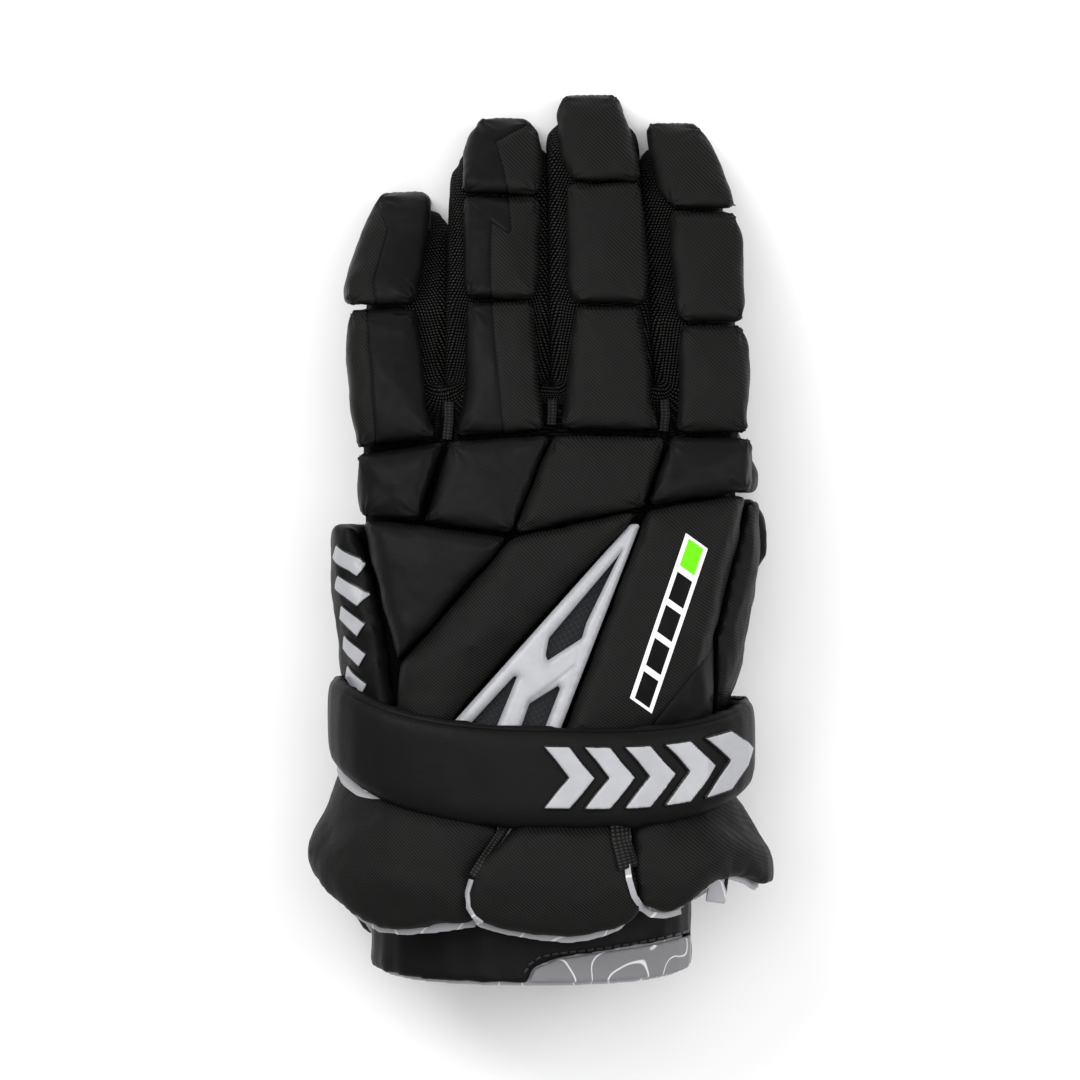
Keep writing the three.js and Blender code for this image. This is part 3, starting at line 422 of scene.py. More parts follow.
def nameplate():
    """A bare printed bar: white rim, black blocks parted by white lines, and a green end."""
    made = Finish("printed_bar", roughness=0.45, gloss=0.08)
    place = made.kept("weave").outputs["Vector"]
    split = made.node("ShaderNodeSeparateXYZ")
    made.tree.links.new(place, split.inputs[0])
    along, across = split.outputs[0], split.outputs[1]
    rim = made.step(made.sum("ABSOLUTE", across), 3.1 * MM, 3.3 * MM)
    turn = made.sum("FRACT", made.sum("DIVIDE", along, BAR_BLOCK))
    parting = made.step(made.sum("ABSOLUTE", made.sum("SUBTRACT", turn, 0.5)), 0.4, 0.42)
    white = made.sum("MAXIMUM", rim, parting)
    green = made.step(along, BAR_BLOCK * 4, BAR_BLOCK * 4 + 0.1 * MM)
    block = made.mix(green, grey(0.0008), (0.13, 0.68, 0.005, 1.0))
    speck = made.noise(0.6 * MM, 3.0)
    made.color(made.mix(white, block, made.mix(speck, grey(0.78), grey(0.88))))
    made.bump(speck, 0.04 * MM)
    return made.material


def vent_mesh():
    """The coarse dark mesh under the vent's windows."""
    made = Finish("vent_mesh", roughness=0.45, gloss=0.15)
    one = made.ribs(VENT_CELL, (0.88, 0.47, 0.0), 0.12)
    two = made.ribs(VENT_CELL, (-0.45, 0.89, 0.0), 0.12)
    yarn = made.sum("MAXIMUM", made.step(one, 0.8, 0.97), made.step(two, 0.8, 0.97))
    cloud = made.noise(3 * MM, 3.0)
    low = made.mix(cloud, (0.0005, 0.0006, 0.0009, 1.0), (0.003, 0.0034, 0.0045, 1.0))
    made.color(made.mix(yarn, low, (0.021, 0.023, 0.03, 1.0)))
    made.bump(yarn, 0.5 * MM)
    return made.material


def rubber():
    """Dark glossy rubber round the raised marks."""
    made = Finish("black_rubber", roughness=0.35, gloss=0.3)
    made.color(made.mix(made.noise(2 * MM, 3.0), grey(0.003), grey(0.008)))
    made.bump(made.noise(0.8 * MM, 3.0), 0.05 * MM)
    return made.material


SMOOTH = cloth("smooth_cloth", 0.0)
RUBBER = rubber()
TWILL = cloth("twill_cloth", 1.0)
HALF_TWILL = cloth("fine_twill_cloth", 0.42)
SEAMED = cloth("seamed_cloth", 1.0, seamed=True)
KNIT = knit()
LEATHER = palm_leather()
SILVER = moulding()
LINING = lining("grey_lining", 1.0)
PATCH_LINING = lining("patch_lining", 0.56)
WEBBING = webbing()
NAMEPLATE = nameplate()
STRAP_CLOTH = cloth("strap_cloth", 0.4, seamed=True)
VENT_MESH = vent_mesh()


# The hand's knit lining and walls, one skin with soft rolls along the slits


def slit_places(points):
    """Along and across the rows of the knit, which turn round the end of each slit like a U."""
    best = np.full(len(points), FAR)
    along = np.zeros(len(points))
    away = np.zeros((len(points), 3))
    for x, lean in SLITS:
        end = np.array([x * MM, CROTCH_Y + SLIT_END])
        run = np.array([lean * MM, SLIT_LENGTH])
        run /= np.hypot(*run)
        to = points[:, :2] - end
        up = to @ run
        out = to[:, 0] * run[1] - to[:, 1] * run[0]
        gap = np.where(up > 0, np.abs(out), np.hypot(up, out))
        turn = np.arctan2(np.abs(out), -np.minimum(up, -1e-9))
        beside = np.abs(up) + SLIT_ROUND * math.pi / 2
        run_round = np.where(up > 0, beside, SLIT_ROUND * turn) * np.sign(out)
        near = gap < best
        best = np.where(near, gap, best)
        along = np.where(near, run_round, along)
        outward = np.array([run[1], -run[0]]) * np.sign(out)[:, None]
        outward = np.where(up[:, None] > 0, outward, to / np.maximum(gap, 1e-6)[:, None])
        away[:, :2] = np.where(near[:, None], outward, away[:, :2])
    outside = (points[:, 0] < OUTER_FINGERS[0]) | (points[:, 0] > OUTER_FINGERS[1])
    across = np.where(outside, best - points[:, 2], -best - points[:, 2])
    along = np.where(outside, points[:, 1], along)
    return best, along, across, away


# The soft rolls beside each slit: how far from its middle, how broad, and how high in millimetres
ROLL_PLACE = 4.4 * MM
ROLL_BREADTH = 2.2 * MM
ROLL_HEIGHT = 2.1
# The valley between them: how broad, how deep in millimetres, and how broad the line of painted shade along
# it is
VALLEY_BREADTH = 1.6 * MM
VALLEY_DEPTH = 1.4
PAINTED_SHADE_BREADTH = 1.2 * MM
# How far the outer walls stand in under the pads beside them, in millimetres
WALL_MOVE = 2.4
HAND_WALLS = (
    "back_liner",
    "outer_side_wall",
    "little_ring_gusset",
    "ring_middle_gusset",
    "middle_index_gusset",
    "inner_side_wall",
)


def knit_hand():
    """The liner, the side walls and the gussets as one skin, with soft rolls along the slits and painted
    shade on the hand and along the slits' middles.
    """
    piece = copy_of("knit_hand", *HAND_WALLS)
    remesh(piece, size=1.2 * MM, rounds=14)
    thin_out(piece, share=0.6)
    points = points_of(piece)
    gap, along, across, away = slit_places(points)
    fingers = np.clip((points[:, 1] - CROTCH_Y + 4 * MM) / (8 * MM), 0, 1)
    middle = np.exp(-((gap / VALLEY_BREADTH) ** 2))
    roll = np.exp(-(((gap - ROLL_PLACE) / ROLL_BREADTH) ** 2)) * ROLL_HEIGHT - middle * VALLEY_DEPTH
    swell = fingers * roll * MM + ripple(points, 6 * MM, 0.25 * MM, 3)
    # The two sides of a slit are drawn together; the dark line along their middle is painted shade, set
    # below
    meet = np.clip(gap - 0.1 * MM, 0, None) * np.clip((4.6 * MM - gap) / (2.2 * MM), 0, 1)
    put_points(piece, points + normals_of(piece) * swell[:, None] - away * meet[:, None])
    moved = points_of(piece)
    left = np.clip((OUTER_FINGERS[0] - moved[:, 0]) / (12 * MM), 0, 1)
    right = np.clip((moved[:, 0] - OUTER_FINGERS[1]) / (12 * MM), 0, 1)
    above = np.clip((moved[:, 1] + 30 * MM) / (20 * MM), 0, 1)
    moved[:, 0] += (left - right) * above * WALL_MOVE * MM
    put_points(piece, moved)
    # Painted shade, kept as the third value of weave: a tenth as bright on the hand between the pads, and
    # dark along each slit's middle
    dark = np.exp(-(((gap - meet) / PAINTED_SHADE_BREADTH) ** 2))
    note(piece, "weave", np.stack([along, across, (0.1 + 0.9 * fingers) * (1 - 0.92 * dark)], 1))
    return finish(piece, "knit_mesh", KNIT, *HAND_WALLS)


def soft_wall(name, slot, material, node, size, rounds, rough=0.2 * MM, share=0.4):
    """A sewn wall of the glove, smoothed, with a little unevenness."""
    piece = copy_of(name, node)
    remesh(piece, size, rounds)
    thin_out(piece, share)
    points = points_of(piece)
    uneven = ripple(points, size=9 * MM, depth=rough, seed=5)
    put_points(piece, points + normals_of(piece) * uneven[:, None])
    points = points_of(piece)
    if material is KNIT:
        across = points[:, 0] - points[:, 2]
        note(piece, "weave", np.stack([points[:, 1], across, np.ones(len(points))], 1))
    return finish(piece, slot, material, node)


knit_skin = knit_hand()
soft_wall("palm_skin", "leather", LEATHER, "palm_leather", size=1.4 * MM, rounds=12)
soft_wall("thumb_palm_skin", "leather", LEATHER, "thumb_leather", size=1.3 * MM, rounds=10)
soft_wall("thumb_back_skin", "knit_mesh", KNIT, "thumb_back", size=1.3 * MM, rounds=10)
soft_wall("vent_backing", "knit_mesh", VENT_MESH, "vent_bed", size=1.0 * MM, rounds=3, rough=0)


# Pads


# The pads and their cloth
PADS = {
    "little_base_pad": SEAMED,
    "little_tip_pad": SEAMED,
    "ring_base_pad": SEAMED,
    "ring_middle_pad": SEAMED,
    "ring_tip_pad": SEAMED,
    "middle_base_pad": TWILL,
    "middle_middle_pad": TWILL,
    "middle_tip_pad": TWILL,
    "index_base_pad": TWILL,
    "index_middle_pad": TWILL,
    "index_tip_pad": TWILL,
    "little_knuckle_pad": SMOOTH,
    "ring_knuckle_pad": HALF_TWILL,
    "middle_knuckle_pad": TWILL,
    "index_knuckle_pad": HALF_TWILL,
    "triangle_back_pad": HALF_TWILL,
    "diagonal_back_pad": TWILL,
    "index_back_pad": SEAMED,
    "outer_side_pad": SMOOTH,
    "inner_side_pad": TWILL,
    "thumb_base_pad": SMOOTH,
    "thumb_tip_pad": SMOOTH,
}
# The seams that part smooth cloth from ribbed
SEAMS = {
    "little_base_pad": line((377, 460), (367, 312), (366, 300)),
    "little_tip_pad": line((376, 306), (373, 280), (387, 230), (378, 205), (376, 190)),
    "ring_base_pad": line((490, 290), (491, 300), (503, 430), (504, 440)),
    "ring_middle_pad": line(
        (503, 180), (507, 190), (511, 230), (508, 233), (491, 220), (490, 260), (491, 300), (491, 305)
    ),
    "ring_tip_pad": line((530, 110), (527, 122), (495, 140), (504, 170), (507, 190), (508, 200)),
    "index_back_pad": line((640, 740), (654, 721), (716, 643), (740, 612)),
}
HAND_PADS = (
    "triangle_back_pad",
    "diagonal_back_pad",
    "index_back_pad",
    "outer_side_pad",
    "inner_side_pad",
    "thumb_base_pad",
    "thumb_tip_pad",
)
# How far each finger pad spreads past its solid, in millimetres: left, right, up and down
SPREAD = {
    "little_tip_pad": (3.0, 2.0, 2.4, 0.7),
    "little_base_pad": (1.2, 1.2, 0.7, 0),
    "ring_tip_pad": (1.9, 1.9, 2.6, 0.7),
    "ring_middle_pad": (2.2, 2.4, 0.7, 0.7),
    "ring_base_pad": (1.3, 1.2, 0.7, 0),
    "middle_tip_pad": (1.8, 2.8, 2.9, 0.7),
    "middle_middle_pad": (2.7, 2.9, 0.7, 0.7),
    "middle_base_pad": (1.3, 1.0, 0.7, 0),
    "index_tip_pad": (2.4, 2.0, 2.2, 0.7),
    "index_middle_pad": (2.5, 1.6, 0.7, 0.7),
    "index_base_pad": (1.8, 0.9, 0.7, 0),
    "little_knuckle_pad": (1.2, 0, 0, 0),
    "index_knuckle_pad": (0, 2.4, 0, 0),
    "inner_side_pad": (0, 1.2, 0.8, 0),
    "thumb_base_pad": (0, 2.6, 0, 0),
    "thumb_tip_pad": (0, 2.6, 0, 0),
}
# The pads whose lowest edge ends on the side of the hand
SIDE_HEMS = ("little_base_pad", "little_knuckle_pad", "index_base_pad", "index_knuckle_pad")
# Five folds that stand out, each in its pad
DARTS = {
    "little_tip_pad": line((404, 279), (411, 286), (417, 297)),
    "ring_middle_pad": line((469, 285), (467, 292), (463, 300)),
    "little_base_pad": line((417, 306), (408, 311), (396, 312)),
    "middle_middle_pad": line((584, 291), (578, 294), (572, 302)),
    "index_middle_pad": line((726, 300), (731, 306), (739, 312)),
}
# The cuff's five lobes and their cloth
LOBES = {
    "little_side_lobe": TWILL,
    "back_lobe": TWILL,
    "thumb_side_lobe": TWILL,
    "palm_thumb_lobe": HALF_TWILL,
    "palm_little_lobe": HALF_TWILL,
}


def held_points(piece, carrier, reach):
    """The points of a pad that lie on the hand."""
    held = []
    for vertex in piece.data.vertices:
        found = carrier.find_nearest(vertex.co, reach)
        if found[0] is not None:
            held.append(vertex.index)
    return held


def blow_up(pads, cap):
    """Fills the pads with air as cloth bags that are held where they lie on the hand, up to a cap."""
    before = {}
    for pad, held in pads:
        group = pad.vertex_groups.new(name="held")
        group.add(held, 1.0, "REPLACE")
        cloth_modifier = pad.modifiers.new("cloth", "CLOTH")
        settings = cloth_modifier.settings
        settings.quality = PAD_QUALITY
        settings.use_pressure = True
        settings.uniform_pressure_force = PAD_PRESSURE
        settings.vertex_group_mass = "held"
        settings.effector_weights.gravity = 0.0
        cloth_modifier.point_cache.frame_start = 1
        cloth_modifier.point_cache.frame_end = PAD_FRAMES
        before[pad] = points_of(pad)
    for count in range(1, PAD_FRAMES + 1):
        bpy.context.scene.frame_set(count)
    graph = bpy.context.evaluated_depsgraph_get()
    for pad, _ in pads:
        move = threes(pad.evaluated_get(graph).data.vertices, "co") - before[pad]
        far = np.linalg.norm(move, axis=1)
        move *= np.minimum(1, cap / np.maximum(far, 1e-9))[:, None]
        pad.modifiers.remove(pad.modifiers["cloth"])
        put_points(pad, before[pad] + move)
    bpy.context.scene.frame_set(1)


def sew(piece, places, depth, width):
    """Draws a seam or a fold into a pad along a line in plan, on the side that faces up."""
    points = points_of(piece)
    normals = normals_of(piece)
    gap = signed_distance(points, places)
    dip = np.exp(-((gap / width) ** 2)) * depth * np.clip(normals[:, 2] * 1.5, 0, 1)
    put_points(piece, points - normals * dip[:, None])


# How uneven a pad's skin is, in broad swells and small ones, and how far its outline wanders across and
# along: each by its size and its depth
BROAD_SWELL = (11 * MM, 0.5 * MM)
SMALL_SWELL = (4 * MM, 0.18 * MM)
WANDER_ACROSS = (13 * MM, 0.7 * MM)
WANDER_ALONG = (13 * MM, 0.5 * MM)
# The folds at a pad's corners: how many to a turn, how high in millimetres, and how far in they run
FOLD_TURNS = 9
FOLD_HEIGHT = 0.95
FOLD_REACH = 4.2 * MM
# The puckers at its two ends: a share of their pitch, how high in millimetres, and how far in they run
PUCKER_RUN = 0.42 * MM
PUCKER_HEIGHT = 0.1
PUCKER_REACH = 1.5 * MM


def gather(piece, seed):
    """Small folds that run in from a pad's four corners, and puckers along its two ends."""
    points = points_of(piece)
    normals = normals_of(piece)
    low, high = points.min(0), points.max(0)
    share = (points - (low + high) / 2) / (high - low) * 2
    fold = np.zeros(len(points))
    for across in (-1, 1):
        for along in (-1, 1):
            reach = share[:, 0] * across + share[:, 1] * along + np.where(normals[:, 2] > 0.2, 0, -9)
            to = points - points[reach.argmax()]
            far = np.linalg.norm(to, axis=1)
            turn = np.arctan2(to[:, 1], to[:, 0])
            wave = np.sin(turn * FOLD_TURNS + seed * 2.1 + across)
            fold += wave * np.exp(-far / FOLD_REACH) * far / (far + MM) * FOLD_HEIGHT
    edge = np.minimum(high[1] - points[:, 1], points[:, 1] - low[1])
    fold += np.sin(points[:, 0] / PUCKER_RUN + seed) * np.exp(-edge / PUCKER_REACH) * PUCKER_HEIGHT
    put_points(piece, points + normals * (fold * MM)[:, None])


# How far the middle flap's left edge comes over its neighbour and up, how far the flap on its right comes to
# meet it, and how far the one on its left dips under it, in millimetres
LAP_OVER = 6.3
LAP_RISE = 2.2
LAP_MEET = 2.8
LAP_DIP = 4.5


def overlap(piece, node):
    """Brings the middle flap's left edge over the next flap, which dips, and closes the gap on its right."""
    points = points_of(piece)
    down = np.clip((-105 * MM - points[:, 1]) / (20 * MM), 0, 1)
    down = down * down * (3 - 2 * down)
    if node.startswith("back_lobe"):
        left = np.clip((4 * MM - points[:, 0]) / (19 * MM), 0, 1.1) ** 2 * down
        points[:, 0] -= left * LAP_OVER * MM
        points[:, 2] += left * LAP_RISE * MM
    if node.startswith("thumb_side_lobe"):
        points[:, 0] -= np.clip((52 * MM - points[:, 0]) / (14 * MM), 0, 1.1) * down * LAP_MEET * MM
    if node.startswith("little_side_lobe"):
        right = np.clip((points[:, 0] + 36 * MM) / (14 * MM), 0, 1.3)
        points[:, 2] -= right * right * (0.3 + 0.7 * down) * LAP_DIP * MM
    put_points(piece, points)


# Along the side pad's outer edge: places from the strap up, and how far out each is brought, in millimetres
EDGE_PLACES = [-60 * MM, -30 * MM, -8 * MM, 4 * MM]
EDGE_MOVES = [-2.6, -2.0, 0.6, 2.2]


def square_up(piece):
    """Brings the side pad's outer edge out at its upper end and in towards the strap."""
    points = points_of(piece)
    outer = np.clip((-60 * MM - points[:, 0]) / (15 * MM), 0, 1)
    points[:, 0] -= outer * np.interp(points[:, 1], EDGE_PLACES, EDGE_MOVES) * MM
    put_points(piece, points)


def soften_hem(piece):
    """Evens out the lowest edge of a pad, where it ends on the side of the hand."""
    points = points_of(piece)
    low, high = points[:, 2].min(), points[:, 2].max()
    hem = np.flatnonzero(points[:, 2] < low + (high - low) * 0.38)
    group = piece.vertex_groups.new(name="hem")
    group.add(hem.tolist(), 1.0, "REPLACE")
    shape(piece, "SMOOTH", factor=0.5, iterations=22, vertex_group="hem")
    piece.vertex_groups.clear()


def make_pads():
    """All pads and flaps: smoothed, filled with air, made uneven, sewn and dressed."""
    carrier = BVHTree.FromObject(knit_skin, bpy.context.evaluated_depsgraph_get())
    made = []
    for name in list(PADS) + list(LOBES):
        pad = copy_of(name.replace("_pad", "_cushion").replace("_lobe", "_flap"), name)
        big = name in LOBES or name in ("diagonal_back_pad", "index_back_pad", "outer_side_pad")
        remesh(pad, size=(2.1 if big else 1.6) * MM, rounds=12 if name in LOBES else 5)
        if name in SIDE_HEMS:
            soften_hem(pad)
        if name in HAND_PADS:
            put_points(pad, points_of(pad) + normals_of(pad) * 0.25 * MM)
        if name in SPREAD or name not in HAND_PADS:
            fit(pad, name, (0 if name in HAND_PADS else 0.4) * MM, SPREAD.get(name, (0, 0, 0, 0)))
        if name == "outer_side_pad":
            square_up(pad)
        if name in LOBES:
            overlap(pad, name)
        made.append((name, pad, held_points(pad, carrier, PAD_HOLD)))
    blow_up([(pad, held) for _, pad, held in made], PAD_CAP)
    for k, (name, pad, _) in enumerate(made):
        shape(pad, "SUBSURF", levels=1, render_levels=1)
        points = points_of(pad)
        uneven = ripple(points, *BROAD_SWELL, k) + ripple(points, *SMALL_SWELL, k + 50)
        drift = ripple(points, *WANDER_ACROSS, k + 100), ripple(points, *WANDER_ALONG, k + 150)
        points[:, :2] += np.stack(drift, 1)
        put_points(pad, points + normals_of(pad) * uneven[:, None])
        if name in DARTS:
            sew(pad, DARTS[name], depth=0.7 * MM, width=0.7 * MM)
        if name not in HAND_PADS and name not in LOBES:
            gather(pad, k)
        if name in LOBES:
            thin_out(pad, share=0.6)
            finish(pad, "twill", LOBES[name], name, fill=0.7)
            continue
        material, seam = PADS[name], SEAMS.get(name)
        if seam:
            sew(pad, seam, depth=0.3 * MM, width=0.8 * MM)
        thin_out(pad, share=0.6)
        if seam:
            note(pad, "seam", signed_distance(points_of(pad), seam))
        slot = "twill" if material is TWILL else "smooth_cloth"
        finish(pad, slot, material, name, fill=0.85)


make_pads()


# The vent's frame


# How far the vent's bars are widened and raised, in millimetres, and how far in from their edges they rise
BAR_WIDEN = 0.7
BAR_RISE = 1.5
BAR_SHOULDER = 1.6 * MM
# The two creases in the vent's frame, beside the bar that joins the others: their lines, depth and width
VENT_CREASES = (
    (line((574, 666), (552, 684), (530, 700), (528, 712)), 0.5 * MM, 0.6 * MM),
    (line((579, 650), (575, 666), (574, 668)), 0.35 * MM, 0.5 * MM),
)


def vent_frame():
    """Rounded bars, highest along their middles, with a crease below the bar that joins them."""
    piece = copy_of("vent_grille", "vent_frame")
    remesh(piece, size=0.5 * MM, rounds=6)
    points = points_of(piece)
    normals = normals_of(piece)
    points[:, :2] += normals[:, :2] * BAR_WIDEN * MM
    top = normals[:, 2] > 0.75
    edges = np.flatnonzero((normals[:, 2] < 0.55) & (normals[:, 2] > 0.1))
    tree = KDTree(len(edges))
    for k in edges:
        tree.insert(points[k], int(k))
    tree.balance()
    rise = np.array([tree.find(place)[2] if flat else 0.0 for place, flat in zip(points, top)])
    points[:, 2] += (1 - np.exp(-rise / BAR_SHOULDER)) * BAR_RISE * MM
    put_points(piece, points)
    for places, depth, width in VENT_CREASES:
        sew(piece, places, depth, width)
    shape(piece, "SMOOTH", factor=0.5, iterations=2)
    return finish(piece, "silver_moulding", SILVER, "vent_frame")


vent_frame()


# The strap and its raised chevrons


def strap_across(points):
    """How far each point of the strap lies from its middle line."""
    x = (points[:, 0] - STRAP_MIDDLE[0]) / STRAP_HALF[0]
    z = (points[:, 2] - STRAP_MIDDLE[1]) / STRAP_HALF[1]
    power = STRAP_POWER / 2
    angle = np.arctan2(np.sign(z) * np.abs(z) ** power, np.sign(x) * np.abs(x) ** power)
    back = np.clip(np.sin(angle), 0, None)
    middle = WRIST_Y + (6.5 - 17 * back**1.5 - 4 * np.cos(angle)) * MM
    width = STRAP_WIDTH * (0.86 + 0.14 * back)
    return (points[:, 1] - middle) / width


def widened(points):
    """The strap's places, or those of what lies on it, drawn out towards the thumb side."""
    share = (points[:, 0] - STRAP_MIDDLE[0] + STRAP_HALF[0]) / (2 * STRAP_HALF[0])
    return points + np.stack([share * STRAP_STRETCH, share * 0, share * 0], 1)


def strap():
    """The wide padded strap, a little swollen, with a groove where its binding is sewn on."""
    piece = copy_of("padded_strap", "wrist_strap")
    remesh(piece, size=1.7 * MM, rounds=18)
    fit(piece, "wrist_strap", less=0.0)
    shape(piece, "SUBSURF", levels=1, render_levels=1)
    points = points_of(piece)
    across = strap_across(points)
    swell = np.clip(1 - (across / 0.42) ** 2, 0, 1) * 0.3 * MM
    uneven = ripple(points, size=16 * MM, depth=0.3 * MM, seed=2)
    binding = np.exp(-(((across - BINDING) / 0.016) ** 2)) * 0.3 * MM
    put_points(piece, points + normals_of(piece) * (swell + uneven - binding)[:, None])
    thin_out(piece, share=0.5)
    points = points_of(piece)
    note(piece, "seam", (BINDING - strap_across(points)) * STRAP_WIDTH)
    put_points(piece, widened(points))
    return finish(piece, "smooth_cloth", STRAP_CLOTH, "wrist_strap", fill=0.8)


def outward_from_strap(points):
    """The way out of the strap at each point."""
    out = np.zeros_like(points)
    out[:, 0] = (points[:, 0] - STRAP_MIDDLE[0]) / STRAP_HALF[0] ** 2
    out[:, 2] = (points[:, 2] - STRAP_MIDDLE[1]) / STRAP_HALF[1] ** 2
    return out / np.linalg.norm(out, axis=1)[:, None]


def chevrons():
    """Five plain raised marks in silver, each in a rim of dark rubber."""
    for k in range(1, 6):
        node = f"strap_chevron_{k}"
        rim = copy_of(f"chevron_edge_{k}", node)
        shape(rim, "REMESH", mode="VOXEL", voxel_size=0.45 * MM)
        points = points_of(rim)
        wider = points + normals_of(rim) * 0.7 * MM - outward_from_strap(points) * 0.5 * MM
        put_points(rim, widened(wider))
        finish(rim, "smooth_cloth", RUBBER)
        piece = copy_of(f"silver_chevron_{k}", node)
        remesh(piece, size=0.4 * MM, rounds=2)
        points = points_of(piece)
        put_points(piece, widened(points + outward_from_strap(points) * 0.45 * MM))
        finish(piece, "silver_moulding", SILVER, node)


strap()
chevrons()


# The cuff's linings, the sleeve and its patch


def cloth_size(piece):
    """The width and length of a thin piece when it is laid flat: half its skin, over its length in plan."""
    area = sum(face.area for face in piece.data.polygons) / 2
    length = float(np.ptp(points_of(piece)[:, 1]))
    return area / length, length


for lobe in LOBES:
    lobe_lining = copy_of(lobe.replace("_lobe", "_flap_lining"), lobe + "_lining")
    remesh(lobe_lining, size=0.7 * MM, rounds=14)
    thin_out(lobe_lining, share=0.3)
    fit(lobe_lining, lobe + "_lining", less=0.0)
    overlap(lobe_lining, lobe)
    finish(lobe_lining, "grey_lining", LINING, lobe + "_lining")
    cloth_size(lobe_lining)


def sleeve():
    """The wrist sleeve, its grey patch and its thin lining."""
    sizes = {"size": 1.1 * MM, "rounds": 10, "rough": 0.5 * MM}
    soft_wall("sleeve_cloth", "smooth_cloth", SMOOTH, "wrist_sleeve", **sizes)
    sizes = {"size": 0.7 * MM, "rounds": 12}
    soft_wall("sleeve_patch_cloth", "grey_lining", PATCH_LINING, "sleeve_patch", **sizes)
    sizes = {"size": 0.6 * MM, "rounds": 4, "rough": 0.1 * MM, "share": 0.12}
    soft_wall("sleeve_inner_cloth", "grey_lining", LINING, "sleeve_lining", **sizes)


sleeve()


# Trims: tapes, tabs and bare marks that lie on what is under them


def turned(points, tilt):
    """The points in a frame whose upward axis leans to the left by an angle, in radians."""
    x = points[:, 0] * math.cos(tilt) + points[:, 2] * math.sin(tilt)
    z = points[:, 2] * math.cos(tilt) - points[:, 0] * math.sin(tilt)
    return np.stack([x, points[:, 1], z], 1)


# A height above the whole glove, from which what lies below is looked for
LOOKOUT = 0.4


def heights_under(points, pieces, tilt=0.0):
    """The height of what lies under each point, or the nearest found where nothing does."""
    graph = bpy.context.evaluated_depsgraph_get()
    trees = [BVHTree.FromObject(piece, graph) for piece in pieces]
    high = points.copy()
    high[:, 2] = LOOKOUT
    starts = turned(high, -tilt)
    fall = turned(np.array([[0.0, 0.0, -1.0]]), -tilt)[0]
    found = np.full(len(points), np.nan)
    for k, start in enumerate(starts):
        for tree in trees:
            far = tree.ray_cast(start, fall)[3]
            if far is not None and not LOOKOUT - far <= found[k]:
                found[k] = LOOKOUT - far
    missing = np.isnan(found)
    for k in np.flatnonzero(missing):
        far = np.hypot(points[:, 0] - points[k, 0], points[:, 1] - points[k, 1])
        far[missing] = FAR
        found[k] = found[far.argmin()]
    return found


def pieces_named(*names):
    return [bpy.data.objects[name] for name in names]


def run_length(places):
    """How far along a line each of its places lies."""
    return np.concatenate([[0], np.cumsum(np.hypot(*np.diff(places, axis=0).T))])


def tape(name, places, on, wide, thick, lift, calm, leaf=False, slope=0.0, cell=0.7, tilt=0.0):
    """A tape laid along a line on what is under it, or beside it if tilted, with its edges rounded over.

    It stands lift above what it lies on and is smoothed calm times. A leaf narrows to its ends, a slope
    slants the ends, and cell is the size of its faces in millimetres.
    """
    places = np.array(places)
    reach = run_length(places)
    rows = max(4, round(reach[-1] / (cell * MM)))
    columns = max(4, round(wide / (cell * MM)))
    bpy.ops.object.select_all(action="DESELECT")
    bpy.ops.mesh.primitive_grid_add(x_subdivisions=rows, y_subdivisions=columns, size=2, location=(0, 0, 0))
    piece = bpy.context.object
    piece.name = name
    grid = points_of(piece)
    across = grid[:, 1] * wide / 2
    if leaf:
        across = across * np.sqrt(np.clip(1 - grid[:, 0] ** 2, 0.02, 1))
    told = (grid[:, 0] + 1) / 2 * reach[-1]
    along = told + across * slope
    x = np.interp(along, reach, places[:, 0])
    y = np.interp(along, reach, places[:, 1])
    step = 0.5 * MM
    mid = np.clip(along, step, reach[-1] - step)
    run_x = np.interp(mid + step, reach, places[:, 0]) - np.interp(mid - step, reach, places[:, 0])
    run_y = np.interp(mid + step, reach, places[:, 1]) - np.interp(mid - step, reach, places[:, 1])
    run = np.hypot(run_x, run_y)
    over = along - np.clip(along, 0, reach[-1])
    x = x + (run_x * over - run_y * across) / run
    y = y + (run_y * over + run_x * across) / run
    points = np.stack([x, y, x * 0], 1)
    points[:, 2] = heights_under(points, on, tilt) + lift
    put_points(piece, points)
    shape(piece, "SMOOTH", factor=0.5, iterations=calm, use_x=False, use_y=False)
    put_points(piece, turned(points_of(piece), -tilt))
    note(piece, "weave", np.stack([told, across, np.ones(len(told))], 1))
    shape(piece, "SOLIDIFY", thickness=thick, offset=1.0)
    rounding = min(thick * 0.4, 0.4 * MM)
    shape(piece, "BEVEL", width=rounding, segments=2, limit_method="ANGLE", angle_limit=1.0)
    return piece


# Where the trims of the cuff run
WEBBING_TAB = line((617, 806), (620, 838), (627, 866))
RIBBED_STRIP = line((513, 812), (504, 826), (473, 874))
MIDDLE_PIPING = line((473, 877), (469, 890), (470, 904), (475, 913), (483, 919))
SIDE_PIPING = line((626, 862), (628, 876), (633, 893), (640, 905), (650, 912), (663, 913), (680, 909))
LINING_EDGE = line((340, 766), (349, 779), (362, 788), (386, 795))
LINING_TAB = line((718, 860), (717, 880), (714, 901))
LINING_TAB_EDGE = line((725, 860), (724, 880), (721, 900))
# Where the short tabs run at the ends of the slits, the printed bar on the back, and the row of stitches
CROTCH_TABS = {
    "little_crotch_tab": line((449, 402), (449, 420), (447, 440)),
    "ring_crotch_tab": line((552, 400), (552, 412), (551, 426)),
    "index_crotch_tab": line((664, 400), (665, 415), (663, 432)),
}
PRINTED_BAR = line((640, 705), (655, 661), (696, 541))
STITCH_ROW = line((524, 972), (530, 962), (540, 955), (560, 951), (600, 947), (640, 941), (690, 931))
# The five bars on the side pad: the middle of the first, the way to the next, how far each reaches out and
# in from its middle, and how far that side of the glove leans
SIDE_MARK = (353, 564)
SIDE_MARK_STEP = (1.2, 30)
SIDE_MARK_OUT = (8.5 * MM, 4.5 * MM)
SIDE_MARK_IN = (3.6 * MM, 2.3 * MM)
SIDE_LEAN = math.radians(50)
